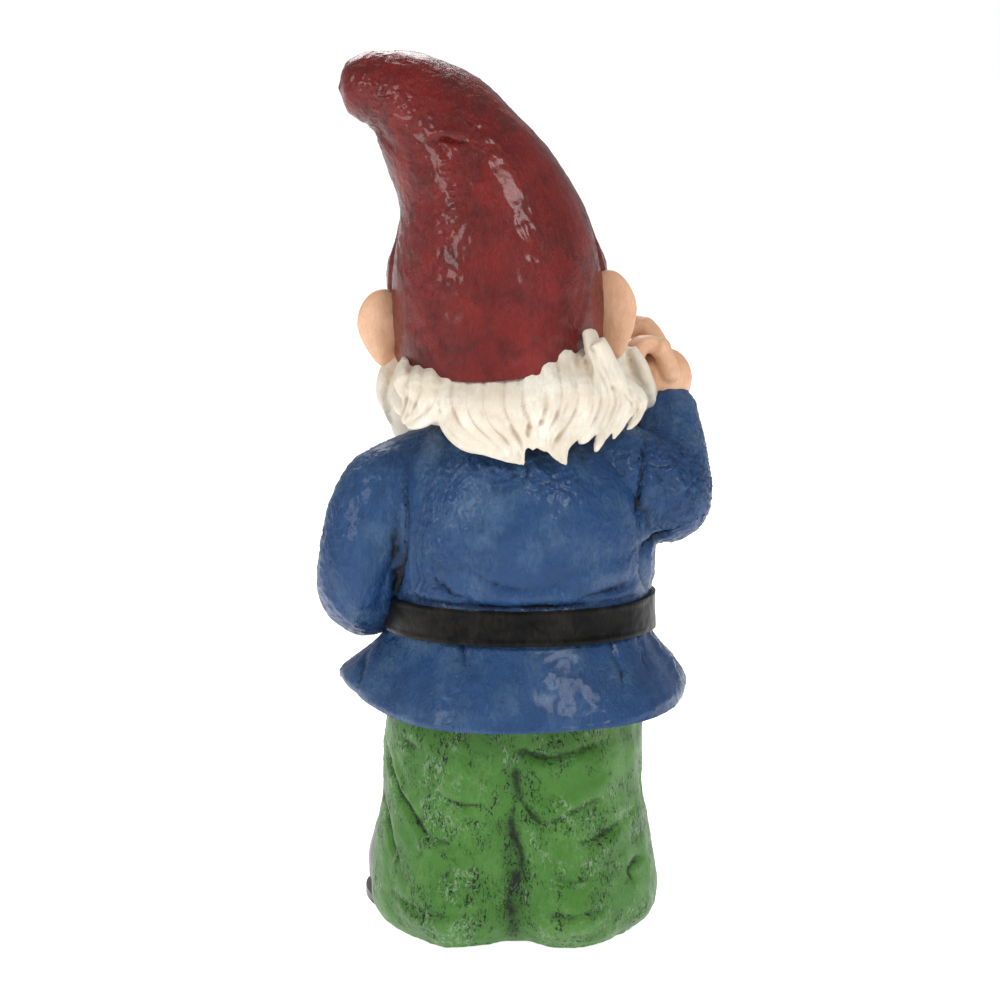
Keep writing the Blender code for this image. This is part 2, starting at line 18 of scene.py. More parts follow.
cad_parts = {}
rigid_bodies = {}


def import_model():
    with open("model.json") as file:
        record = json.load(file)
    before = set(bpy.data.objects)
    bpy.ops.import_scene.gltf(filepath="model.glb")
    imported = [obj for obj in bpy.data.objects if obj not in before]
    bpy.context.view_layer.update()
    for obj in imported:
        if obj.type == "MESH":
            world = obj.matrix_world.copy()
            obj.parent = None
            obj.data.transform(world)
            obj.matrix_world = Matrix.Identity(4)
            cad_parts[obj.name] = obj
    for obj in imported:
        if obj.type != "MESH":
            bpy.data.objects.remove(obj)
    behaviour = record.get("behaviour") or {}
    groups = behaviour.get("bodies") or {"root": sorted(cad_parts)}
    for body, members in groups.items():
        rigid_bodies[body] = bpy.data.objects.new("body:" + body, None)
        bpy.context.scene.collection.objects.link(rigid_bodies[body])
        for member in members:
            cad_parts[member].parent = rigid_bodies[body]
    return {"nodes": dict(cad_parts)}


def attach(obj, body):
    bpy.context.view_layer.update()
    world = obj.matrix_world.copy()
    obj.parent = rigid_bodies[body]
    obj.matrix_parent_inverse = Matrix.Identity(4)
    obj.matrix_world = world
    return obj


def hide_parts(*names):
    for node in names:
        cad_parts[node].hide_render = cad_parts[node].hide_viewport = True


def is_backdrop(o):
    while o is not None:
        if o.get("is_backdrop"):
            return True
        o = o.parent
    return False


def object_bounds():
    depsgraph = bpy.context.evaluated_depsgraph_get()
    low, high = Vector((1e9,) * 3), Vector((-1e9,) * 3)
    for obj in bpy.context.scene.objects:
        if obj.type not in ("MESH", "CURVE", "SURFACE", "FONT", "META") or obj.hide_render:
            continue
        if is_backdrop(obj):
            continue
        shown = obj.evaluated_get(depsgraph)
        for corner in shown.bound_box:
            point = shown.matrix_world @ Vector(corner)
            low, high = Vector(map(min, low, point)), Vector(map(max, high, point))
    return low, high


for old in list(bpy.data.objects):
    bpy.data.objects.remove(old)
noise.seed_set(1)  # without a seed, noise_vector starts from the clock
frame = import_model()
CAD_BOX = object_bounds()
MM = 0.001
FRONT = Vector((0, -1, 0))
print("castings in the frame:", len(frame["nodes"]))

# %% [markdown]
# ## Camera
#
# The gnome is seen from behind, from a little above its belt, with a long lens. A long lens keeps the
# hat and the feet the same size, as in a catalogue picture.

# %% Camera
AIM = Vector((0.00595, 0, 0.19725))
CAMERA_AWAY, CAMERA_RISE, LENS = 1.5, math.radians(8), 118.57

camera = bpy.data.objects.new("camera", bpy.data.cameras.new("camera"))
camera.location = AIM + CAMERA_AWAY * Vector((0, math.cos(CAMERA_RISE), math.sin(CAMERA_RISE)))
camera.rotation_euler = (AIM - camera.location).to_track_quat("-Z", "Y").to_euler()
camera.data.lens = LENS
bpy.context.scene.collection.objects.link(camera)
bpy.context.scene.camera = camera
print("camera", CAMERA_AWAY, "m away, lens", LENS, "mm")

# %% [markdown]
# ## Studio
#
# A white sky lights everything softly and makes the background plain. Large square lamps add the long
# soft highlights that glossy paint needs: without them the wash would look like dust, and not like a
# glaze. The floor is a plane that shows only the gnome's faint shadow.

# %% Studio
SKY_STRENGTH = 0.40
LAMPS = (  # place, size, watts
    ((-0.80, 1.15, 1.15), 0.50, 11.0),
    ((1.00, 0.80, 0.75), 0.45, 6.0),
    ((0.20, -1.10, 1.20), 0.80, 12.0),
)

world = bpy.data.worlds.new("studio")
world.use_nodes = True
tree = world.node_tree
sky = tree.nodes["Background"]
sky.inputs["Color"].default_value = (1, 1, 1, 1)
rays = tree.nodes.new("ShaderNodeLightPath")
seen = tree.nodes.new("ShaderNodeMapRange")
seen.inputs["To Min"].default_value = SKY_STRENGTH
seen.inputs["To Max"].default_value = 1.0
tree.links.new(rays.outputs["Is Camera Ray"], seen.inputs["Value"])
tree.links.new(seen.outputs["Result"], sky.inputs["Strength"])
bpy.context.scene.world = world
bpy.context.scene.view_settings.view_transform = "Standard"

for number, (spot, size, watts) in enumerate(LAMPS):
    lamp = bpy.data.objects.new(f"lamp_{number}", bpy.data.lights.new(f"lamp_{number}", "AREA"))
    lamp.data.size = size
    lamp.data.energy = watts
    lamp.location = spot
    lamp.rotation_euler = (AIM - lamp.location).to_track_quat("-Z", "Y").to_euler()
    bpy.context.scene.collection.objects.link(lamp)
print(len(LAMPS), "lamps and a white sky")

# %% [markdown]
# ## Sums on sockets
#
# A material is a net of nodes. Written as Python sums, its maths can be read: the class below wraps a
# socket, and `a * b + 1` on it adds the Math nodes. One method adds every other kind of node.


# %% Paint: a material whose sockets can be summed
class Socket:
    """A node's output that Python can do sums on."""

    def __init__(self, paint, socket):
        self.paint, self.socket = paint, socket

    def math(self, operation, a, b, clamp=False):
        settings = {"operation": operation, "use_clamp": clamp}
        return self.paint.node("ShaderNodeMath", settings, {0: a, 1: b})

    def __add__(self, other):
        return self.math("ADD", self, other)

    def __sub__(self, other):
        return self.math("SUBTRACT", self, other)

    def __rsub__(self, other):
        return self.math("SUBTRACT", other, self)

    def __mul__(self, other):
        return self.math("MULTIPLY", self, other)

    def clamped(self):
        return self.math("ADD", self, 0.0, clamp=True)

    __radd__, __rmul__ = __add__, __mul__


class Paint:
    """A named material with one Principled shader."""

    def __init__(self, name, roughness, coat=0.0, coat_roughness=0.2, specular=0.20):
        self.material = bpy.data.materials.new(name)
        self.material.use_nodes = True
        self.nodes, self.links = self.material.node_tree.nodes, self.material.node_tree.links
        self.shader = self.nodes["Principled BSDF"]
        self.shader.inputs["Roughness"].default_value = roughness
        self.shader.inputs["Coat Weight"].default_value = coat
        self.shader.inputs["Coat Roughness"].default_value = coat_roughness
        self.shader.inputs["Specular IOR Level"].default_value = specular
        self.where = self.node("ShaderNodeTexCoord", {}, {}, "Object")

    def node(self, kind, settings, values, output=0):
        """Adds a node: its settings first, then the values or links of its sockets."""
        node = self.nodes.new(kind)
        for key, value in settings.items():
            setattr(node, key, value)
        for key, value in values.items():
            self.feed(node.inputs[key], value)
        return Socket(self, node.outputs[output])

    def feed(self, target, value):
        if isinstance(value, Socket):
            self.links.new(value.socket, target)
        else:
            target.default_value = value

    def noise(self, size, detail=3.0, roughness=0.55, stretch=(1, 1, 1), turn=(0, 0, 0), twist=0.0):
        """Noise whose blotches are about size across, in metres, from 0 to 1."""
        where = self.node(
            "ShaderNodeMapping", {}, {"Vector": self.where, "Scale": stretch, "Rotation": turn}
        )
        values = {"Vector": where, "Scale": 1 / size, "Detail": detail, "Roughness": roughness}
        return self.node("ShaderNodeTexNoise", {}, {**values, "Distortion": twist})

    def level(self, value, low, high):
        """Where value lies between low and high, from 0 to 1, eased at both ends."""
        settings = {"interpolation_type": "SMOOTHSTEP"}
        values = {"Value": value, "From Min": low, "From Max": high}
        return self.node("ShaderNodeMapRange", settings, values)

    def attribute(self, name):
        return self.node("ShaderNodeAttribute", {"attribute_name": name}, {}, "Fac")

    def mix(self, factor, a, b):
        """Colour a, turning into colour b as factor goes to 1."""
        settings = {"data_type": "RGBA"}
        a, b = ((*c, 1) if isinstance(c, tuple) else c for c in (a, b))
        return self.node("ShaderNodeMix", settings, {0: factor, 6: a, 7: b}, 2)

    def bump(self, height, distance):
        """Roughens the surface by a height from 0 to 1, times distance in metres."""
        bumped = self.node("ShaderNodeBump", {}, {"Height": height, "Distance": distance})
        self.feed(self.shader.inputs["Normal"], bumped)


# %% [markdown]
# ## The wash, and painted shade in broad folds
#
# Antique wash is thin black-brown paint, brushed over everything and wiped off again. It stays in
# hollows, and as speckle wherever the paint under it is rough. Two numbers are stored on each vertex
# for it when a piece is finished: `groove`, which is how far a point lies under its near neighbours,
# and `fold`, the same for a wider neighbourhood. Both are in millimetres. The broad folds that
# `fold` finds are darkened partly as wash and partly as painted shade.


# %% Washed paint, with painted shade in broad folds
PATCH, CLOUD, BRUSH, GRAIN = 0.022, 0.013, 0.0032, 0.0011  # sizes of the paint's noises, in metres
SCRATCH, SCUFF, SCUFFED_AREA = 0.0016, 0.0019, 0.017  # black scratches, pale ones, and their patches


def washed_and_shaded(
    name, base, light, dark, wash_and_fold_shade, mottle, speckle, finish, relief, scratch=0.0, specular=0.20
):
    """Brushed paint, darkened in its hollows by a thin dark paint, and in its broad folds partly by
    that paint and partly by painted shade.

    wash gives two strengths for the dark colour: in fine hollows, and in broad folds, where it is
    partly that paint and partly painted shade. mottle says how cloudy the open surface is, and
    speckle how much of it clings there in spots. finish is roughness and coat; relief is the depth of
    the brush marks, in metres; scratch adds black and pale scratches, in patches; and specular is
    how much the paint mirrors.
    """
    roughness, coat = finish
    p = Paint(name, roughness, coat, 0.14, specular)
    patches = p.noise(PATCH, 2.0)
    cloud = p.noise(CLOUD, 3.0, 0.6, twist=0.6)
    brush = p.noise(BRUSH, 4.0, 0.6, (1, 1, 0.45), (0, 0.7, 0.4), 1.2)
    grain = p.noise(GRAIN, 3.0, 0.7)
    hollow = p.level(p.attribute("groove"), 0.03, 0.80)
    # wide is how deep a point lies in a broad fold; it darkens the fold partly as wash and partly as
    # painted shade, and keeps the lighter paint out
    wide = p.level(p.attribute("fold"), 0.15, 3.2)
    lit = p.level(patches + brush * 0.6 - wide * 0.5, 0.70, 1.15)
    colour = p.mix(p.level(cloud, 0.40, 0.70) * mottle, p.mix(lit, base, light), dark)
    cling = p.level(grain + patches * 0.5 + brush * 0.35, 0.92, 1.22)
    # the dark colour covers fine grooves as wash, broad folds partly as wash and partly as painted
    # shade, and rough spots as speckle
    cover = (hollow * wash_and_fold_shade[0] + wide * wash_and_fold_shade[1] + cling * speckle).clamped()
    colour = p.mix(cover, colour, dark)
    if scratch:
        lines = p.noise(SCRATCH, 2.0, 0.6, (1.0, 1.0, 0.5), (0, -0.8, 0.3), 1.5)
        where = p.level(cloud + wide * 0.35 + hollow * 0.25, 0.42, 0.60)
        pale = p.level(p.noise(SCUFF, 2.0, 0.6, (1, 1, 0.6), (0, 0.6, 0), 1.0), 0.52, 0.60)
        here = p.level(p.noise(SCUFFED_AREA, 2.0), 0.50, 0.64)
        colour = p.mix(pale * here * 0.62, colour, tuple(0.6 * c + 0.16 for c in light))
        colour = p.mix(p.level(lines, 0.535, 0.60) * where * scratch, colour, dark)
    p.feed(p.shader.inputs["Base Color"], colour)
    p.feed(p.shader.inputs["Roughness"], cover * 0.15 + brush * 0.16 + (roughness - 0.08))
    p.bump(brush * 0.75 + grain * 0.25, relief)
    return p.material


RED = washed_and_shaded(
    "hat_red", (0.128, 0.006, 0.004), (0.200, 0.012, 0.009), (0.022, 0.004, 0.004),
    wash_and_fold_shade=(0.70, 0.30), mottle=0.48, speckle=0.22, finish=(0.30, 0.28), relief=0.0012,
)
BLUE = washed_and_shaded(
    "tunic_blue", (0.013, 0.052, 0.150), (0.055, 0.115, 0.220), (0.003, 0.007, 0.012),
    wash_and_fold_shade=(0.85, 0.60), mottle=0.18, speckle=0.18, finish=(0.34, 0.14), relief=0.0013,
)
GREEN = washed_and_shaded(
    "trouser_green", (0.052, 0.165, 0.024), (0.105, 0.250, 0.058), (0.005, 0.010, 0.005),
    wash_and_fold_shade=(0.65, 0.35), mottle=0.12, speckle=0.30, finish=(0.40, 0.06), relief=0.0006, scratch=0.95,
)
WHITE = washed_and_shaded(
    "hair_white", (0.690, 0.620, 0.505), (0.830, 0.795, 0.715), (0.300, 0.200, 0.105),
    wash_and_fold_shade=(0.66, 0.50), mottle=0.22, speckle=0.12, finish=(0.42, 0.0), relief=0.0004,
)
SKIN = washed_and_shaded(
    "skin", (0.680, 0.390, 0.240), (0.820, 0.540, 0.370), (0.280, 0.120, 0.055),
    wash_and_fold_shade=(0.90, 0.60), mottle=0.12, speckle=0.10, finish=(0.40, 0.0), relief=0.0004,
)
BLACK = washed_and_shaded(
    "belt_black", (0.0035, 0.003, 0.003), (0.022, 0.020, 0.018), (0.001, 0.001, 0.001),
    wash_and_fold_shade=(0.4, 0.2), mottle=0.40, speckle=0.30, finish=(0.32, 0.03), relief=0.0003, specular=0.08,
)
BOOT = washed_and_shaded(
    "boot_brown", (0.018, 0.013, 0.010), (0.050, 0.040, 0.034), (0.003, 0.003, 0.003),
    wash_and_fold_shade=(0.8, 0.4), mottle=0.20, speckle=0.30, finish=(0.36, 0.15), relief=0.0005,
)
GOLD = washed_and_shaded(
    "buckle_gold", (0.430, 0.260, 0.060), (0.620, 0.430, 0.160), (0.045, 0.025, 0.008),
    wash_and_fold_shade=(0.9, 0.5), mottle=0.15, speckle=0.25, finish=(0.34, 0.2), relief=0.0003,
)


# %% Plain finishes
def plain(name, colour, other, roughness, coat, relief, size=0.004):
    """An unwashed finish: two close colours in soft blotches over a fine relief."""
    p = Paint(name, roughness, coat)
    blotch = p.noise(size, 4.0, 0.6)
    p.feed(p.shader.inputs["Base Color"], p.mix(p.level(blotch, 0.35, 0.65), colour, other))
    p.bump(p.noise(size * 0.3, 3.0), relief)
    return p.material


RESIN = plain("bare_resin", (0.33, 0.30, 0.26), (0.42, 0.39, 0.35), 0.8, 0.0, 0.0004)
RUBBER = plain("plug_rubber", (0.018, 0.018, 0.018), (0.035, 0.034, 0.033), 0.7, 0.0, 0.0002)
frame["nodes"]["closing_plate"].data.materials[0] = RESIN
frame["nodes"]["drain_plug"].data.materials[0] = RUBBER
print(len(bpy.data.materials), "materials")

# %% [markdown]
# ## Shapes from stations
#
# Hat, head and clothes are all bent tubes. Each is described by a few stations: a centre, a half
# width, and a depth to the front and to the back. A flat grid is rolled round a smooth curve through
# them, and its two long edges are merged. The same few numbers serve at any resolution.


# %% Rolling a grid round its stations
def along(rows, t):
    """The rows of numbers at every t from 0 to 1, on a smooth curve through the given rows."""
    rows = np.array(rows, float)
    last = len(rows) - 1
    where = np.clip(t, 0, 1) * last
    k = np.minimum(where.astype(int), last - 1)
    f = (where - k)[:, None]
    p, q, r, s = (rows[np.clip(k + step, 0, last)] for step in (-1, 0, 1, 2))
    return q + 0.5 * f * (r - p + f * (2 * p - 5 * q + 4 * r - s + f * (3 * (q - r) + s - p)))


def unit(vectors):
    return vectors / np.maximum(np.linalg.norm(vectors, axis=1, keepdims=True), 1e-9)


def rolled(stations, around, up, level=True, closed=False, facing=FRONT):
    """A bmesh tube through the stations, its rings level or square to their path."""
    bm = bmesh.new()
    bmesh.ops.create_grid(bm, x_segments=around, y_segments=up, size=0.5)
    flat = np.array([vert.co for vert in bm.verts]) + 0.5
    turn, t = math.tau * flat[:, 0], flat[:, 1]
    row = along(stations, t)
    width, front, back = row[:, 3:6].T
    depth = np.where(np.sin(turn) > 0, front, back)
    axis = np.tile((0.0, 0.0, 1.0), (len(t), 1))
    if not level:
        axis = unit(along(stations, t + 0.01)[:, :3] - along(stations, t - 0.01)[:, :3])
    side = unit(np.cross(axis, facing))
    fore = np.cross(side, axis)
    places = row[:, :3] + side * (width * np.cos(turn))[:, None] + fore * (depth * np.sin(turn))[:, None]
    for vert, place in zip(bm.verts, places):
        vert.co = place
    bmesh.ops.remove_doubles(bm, verts=bm.verts, dist=0.00001)
    if closed:
        bmesh.ops.holes_fill(bm, edges=[e for e in bm.edges if e.is_boundary], sides=0)
    bmesh.ops.recalc_face_normals(bm, faces=bm.faces)
    return bm


# %% [markdown]
# ## Clay
#
# Arms, hands and locks of hair are lumps pressed together. In Blender that is a heap of overlapping
# balls and bars, which the Remesh modifier wraps in one even skin, and which Smooth then kneads.


# %% Pressing shapes together
def place(name, bm):
    """Puts a bmesh in the scene as an object, smooth-shaded."""
    mesh = bpy.data.meshes.new(name)
    bm.to_mesh(mesh)
    bm.free()
    mesh.shade_smooth()
    obj = bpy.data.objects.new(name, mesh)
    bpy.context.scene.collection.objects.link(obj)
    return obj


def settle(obj, *steps):
    """Adds the modifiers, given as (kind, settings), and applies them."""
    for kind, settings in steps:
        modifier = obj.modifiers.new(kind, kind)
        for key, value in settings.items():
            setattr(modifier, key, value)
    graph = bpy.context.evaluated_depsgraph_get()
    graph.update()
    mesh = bpy.data.meshes.new_from_object(obj.evaluated_get(graph))
    obj.modifiers.clear()
    obj.data = mesh
    mesh.shade_smooth()
    return obj


def bevel(width, segments, angle=1.05):
    """The step that rounds every edge sharper than an angle in radians."""
    limit = {"limit_method": "ANGLE", "angle_limit": angle}
    return "BEVEL", {"width": width, "segments": segments, **limit}


def thicken(obj, wall, edge, offset=-1):
    """Gives a skin its wall, inwards unless offset is 1, and then rounds its edges."""
    wall = ("SOLIDIFY", {"thickness": wall, "offset": offset, "use_even_offset": True})
    settle(obj, wall, edge)


def fuse(obj, voxel, kneads):
    """Wraps everything in the object in one even skin."""
    remesh = ("REMESH", {"mode": "VOXEL", "voxel_size": voxel})
    return settle(obj, remesh, ("SMOOTH", {"iterations": kneads, "factor": 0.5}))


def ball(bm, centre, radii, segments=24):
    matrix = Matrix.Translation(centre) @ Matrix.Diagonal((*radii, 1))
    rings = segments // 2
    bmesh.ops.create_uvsphere(bm, u_segments=segments, v_segments=rings, radius=1, matrix=matrix)


def rod(bm, start, end, radius, end_radius, segments=24):
    start, end = Vector(start), Vector(end)
    run = end - start
    matrix = Matrix.Translation((start + end) / 2) @ run.to_track_quat("Z", "Y").to_matrix().to_4x4()
    bmesh.ops.create_cone(
        bm, cap_ends=True, segments=segments, radius1=radius, radius2=end_radius,
        depth=run.length, matrix=matrix,
    )


def limb(bm, points, steps=12, flat_end=False):
    """A smooth chain of balls and bars through (x, y, z, radius) points."""
    points = along(points, np.linspace(0, 1, steps))
    for *centre, radius in points[:-1] if flat_end else points:
        ball(bm, Vector(centre), (radius,) * 3, segments=20)
    for a, b in zip(points, points[1:]):
        rod(bm, a[:3], b[:3], a[3], b[3], 20)


# %% [markdown]
# ## Sculpting
#
# A crease is a row of points that went inwards, and a fold one that came outwards. A stroke below
# follows a few points, given in millimetres, and pushes every vertex near that path along
# its own normal. It fades at both ends, as a thumb or a knife does.


# %% Strokes and lumps
def read(obj, field="co"):
    """The vertices' points, or their normals, as an array."""
    data = obj.data.vertices if field == "co" else obj.data.vertex_normals
    values = np.empty(len(data) * 3, np.float32)
    data.foreach_get("co" if field == "co" else "vector", values)
    return values.reshape(-1, 3).astype(float)


def write(obj, points):
    obj.data.vertices.foreach_set("co", points.astype(np.float32).ravel())
    obj.data.update()


def push(obj, amount):
    """Moves each vertex along its normal."""
    write(obj, read(obj) + read(obj, "normal") * np.asarray(amount)[:, None])


def stroke(obj, path, width, height, side=1, fade=0.6):
    """Pulls a ridge, or presses a groove where height is below 0. All its numbers are millimetres.

    A path's points are (x, z) as seen from the back, or from the front with side=-1.
    """
    points = read(obj) / MM
    path = along(path, np.linspace(0, 1, 4 * len(path)))
    on = []
    for x, z in path:
        away = np.hypot(points[:, 0] - x, points[:, 2] - z)
        on.append((x, points[np.argmin(6 * away - side * points[:, 1]), 1], z))
    path = np.array(on)
    gap, where = np.full(len(points), np.inf), np.zeros(len(points))
    for number, (a, b) in enumerate(zip(path, path[1:])):
        run = b - a
        f = np.clip((points - a) @ run / max(run @ run, 1e-6), 0, 1)
        here = np.linalg.norm(points - a - f[:, None] * run, axis=1)
        near = here < gap
        gap[near] = here[near]
        where[near] = (number + f[near]) / (len(path) - 1)
    strength = np.sin(math.pi * np.clip(where, 0.02, 0.98)) ** fade
    push(obj, MM * height * strength * np.exp(-((gap / width) ** 2)))


def strokes(obj, rows, side=1, widen=1):
    """Makes several strokes, each given as its path, width and height."""
    for path, width, height in rows:
        stroke(obj, path, widen * width, height, side)


def lumps(obj, size, height, seed=0):
    """The unevenness of hand modelling: soft noise, size across and height high, in millimetres."""
    shift = Vector((seed, seed, seed))
    push(obj, [MM * height * noise.noise(vert.co / (size * MM) + shift) for vert in obj.data.vertices])


def hollows(obj, reach, name):
    """Stores how far each vertex lies under its neighbourhood, in millimetres."""
    points = read(obj)
    edges = np.empty(len(obj.data.edges) * 2, np.int32)
    obj.data.edges.foreach_get("vertices", edges)
    a, b = edges.reshape(-1, 2).T
    count = np.maximum(np.bincount(np.concatenate([a, b]), minlength=len(points)), 1)[:, None]
    soft = points.copy()
    for _ in range(reach):
        total = [
            np.bincount(a, soft[b, k], len(points)) + np.bincount(b, soft[a, k], len(points))
            for k in range(3)
        ]
        soft = np.array(total).T / count
    depth = ((soft - points) * read(obj, "normal")).sum(1) / MM
    layer = obj.data.attributes.new(name, "FLOAT", "POINT")
    layer.data.foreach_set("value", depth.astype(np.float32))


def feel(obj):
    """Stores what the dark paint and the painted shade need to know: how hollow each point is, near by
    and further off.
    """
    hollows(obj, 5, "groove")
    hollows(obj, 60, "fold")


def show(obj, paint, slot, *nodes):
    """Paints a piece whose hollows are stored, and lets it stand for its castings."""
    obj.data.materials.clear()
    obj.data.materials.append(paint)
    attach(obj, "root")
    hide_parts(*nodes)
    print(obj.name, len(obj.data.polygons), "faces")


def finish(obj, paint, slot, *nodes):
    feel(obj)
    show(obj, paint, slot, *nodes)


# %% [markdown]
# ## The hat
#
# The hat is a felt cone that has gone soft: it leans, and its tip droops to the side. Rings lie square
# to its bent spine, so it keeps its thickness in the bend. Its rim slopes down to the nape. The crackled
# paint is real relief: short strokes and fine noise pushed into the mesh, strongest on the tip and
# along the band where the light catches it.

# %% The hat's skin
HAT = (
    (0.0065, 0, 0.2680, 0.0470, 0.0560, 0.0540), (0.0070, 0, 0.2900, 0.0472, 0.0540, 0.0520),
    (0.0095, 0, 0.3150, 0.0448, 0.0480, 0.0470), (0.0155, 0, 0.3360, 0.0386, 0.0410, 0.0410),
    (0.0245, 0, 0.3530, 0.0325, 0.0345, 0.0345), (0.0360, 0, 0.3675, 0.0285, 0.0285, 0.0285),
    (0.0490, 0, 0.3785, 0.0220, 0.0225, 0.0225), (0.0600, 0, 0.3830, 0.0172, 0.0175, 0.0175),
    (0.0680, 0, 0.3838, 0.0150, 0.0150, 0.0150), (0.0750, 0, 0.3836, 0.0105, 0.0105, 0.0105),
    (0.0785, 0, 0.3834, 0.0002, 0.0002, 0.0002),
)
HAT_WALL = 0.004
HEAD_MIDDLE = Vector((0.0065, -0.001, 0.270))


def slope_rim(points):
    """Tips the hat's rim up at the brow, and bulges it over the ears."""
    x, y, z = points.T
    fade = np.clip((0.320 - z) / 0.050, 0, 1)
    bulge = 0.005 * np.exp(-(((z - 0.300) / 0.016) ** 2) - ((y + 0.02) / 0.02) ** 2)
    x = x + np.where(y < 0, np.sign(x) * bulge, 0)
    z = z - fade * (np.where(y < 0, 0.42, 0.20) * y + 0.06 * (x - HEAD_MIDDLE.x))
    return np.stack([x, y, z], 1)


bm = rolled(HAT, 240, 140, level=False)
bmesh.ops.remove_doubles(bm, verts=bm.verts, dist=0.0004)
hat = place("gnome_hat", bm)
write(hat, slope_rim(read(hat)))
print("hat skin", len(hat.data.vertices), "points")


# %% The hat's creases and crackle
def crackle(obj, height, size, least, mask=None):
    """Sharp little wrinkles, like dried paint's, in millimetres: least everywhere, more in the mask."""
    points = read(obj)
    amount = []
    for point in points:
        spot = Vector(point) / (size * MM)
        bend = noise.noise_vector(spot * 0.5)
        ridge = 1 - 2 * abs(noise.noise(spot + bend * 1.3))
        amount.append(max(ridge, 0) ** 3)
    strength = least + (mask(points / MM) if mask else 0)
    push(obj, MM * height * np.array(amount) * strength)


def near(*centres):
    """A mask around ellipsoids, each given as its centre and its reach in millimetres."""

    def mask(points):
        total = np.zeros(len(points))
        for centre, reach in centres:
            away = np.linalg.norm((points - np.array(centre)) / np.array(reach), axis=1)
            total = np.maximum(total, np.exp(-(away**2)))
        return total

    return mask


strokes(hat, (
    ([(37, 360), (32, 362), (26, 361), (20, 361)], 1.1, -2.6),
    ([(37, 363), (30, 365), (21, 364)], 1.6, 0.9),
    ([(33, 360), (30, 355)], 1.4, -1.3),
    ([(60, 368), (58, 362), (52, 356)], 3.0, -1.2),
    ([(35, 383), (20, 368), (6, 352), (-4, 339)], 6.0, 0.9),
    ([(38, 345), (28, 335), (18, 320)], 6.0, 0.7),
))
lumps(hat, 30, 1.1, 3)
lumps(hat, 11, 0.35, 5)
BAND = near(
    ((50, 10, 380), (16, 30, 13)), ((14, 33, 362), (14, 16, 16)), ((24, 40, 335), (9, 12, 18)),
    ((-6, 44, 322), (10, 12, 12)), ((-20, 44, 279), (14, 14, 8)), ((28, 44, 306), (10, 12, 10)),
)
crackle(hat, 0.80, 5.5, 0.35, BAND)
crackle(hat, 0.40, 2.9, 0.30, BAND)
thicken(hat, HAT_WALL, bevel(0.0011, 3))
finish(hat, RED, "hat_paint", "hat")

# %% [markdown]
# ## The tunic
#
# Tunic and sleeves are one lump of clay in the maker's hands, so the creases under the arms run
# smoothly from one to the other. They are fused here too, sculpted as one, and only then parted at
# the armholes into three pieces.

# %% Fusing the tunic
TORSO = (
    (-0.0030, 0, 0.1406, 0.0590, 0.0620, 0.0555), (-0.0030, 0, 0.1550, 0.0595, 0.0630, 0.0560),
    (-0.0030, 0, 0.1750, 0.0615, 0.0625, 0.0580), (-0.0020, 0, 0.1980, 0.0590, 0.0580, 0.0570),
    (0.0010, 0, 0.2180, 0.0490, 0.0480, 0.0490), (0.0040, 0, 0.2300, 0.0340, 0.0340, 0.0350),
    (0.0050, 0, 0.2340, 0.0250, 0.0250, 0.0260),
)
ARMS = {
    "right": (
        (-0.0400, 0.002, 0.2100, 0.0235), (-0.0570, 0.000, 0.2060, 0.0230),
        (-0.0700, -0.004, 0.1985, 0.0205), (-0.0710, -0.018, 0.2180, 0.0180),
        (-0.0700, -0.028, 0.2340, 0.0158),
    ),
    "left": (
        (0.0400, 0.002, 0.2060, 0.0235), (0.0590, 0.005, 0.1970, 0.0225),
        (0.0680, 0.007, 0.1640, 0.0215), (0.0660, -0.024, 0.1500, 0.0190),
        (0.0520, -0.056, 0.1505, 0.0160),
    ),
}
CUFF_DEPTH, CUFF_CLEAR = 0.009, 0.004  # how far a cuff is hollowed, and how far the cutter stands out


def carve(obj, bm):
    """Cuts a closed bmesh out of an object."""
    tool = place("tool", bm)
    settle(obj, ("BOOLEAN", {"object": tool, "operation": "DIFFERENCE", "solver": "EXACT"}))
    bpy.data.objects.remove(tool)


bm = rolled(TORSO, 120, 60, closed=True)
for points in ARMS.values():
    limb(bm, points, 20, flat_end=True)
tunic = fuse(place("tunic", bm), 0.0011, 12)
for points in ARMS.values():
    wrist, before = Vector(points[-1][:3]), Vector(points[-2][:3])
    run = (wrist - before).normalized()
    bm = bmesh.new()
    rod(bm, wrist - run * CUFF_DEPTH, wrist + run * CUFF_CLEAR, 0.0122, 0.0128, 48)
    carve(tunic, bm)
print("tunic", len(tunic.data.vertices), "points")

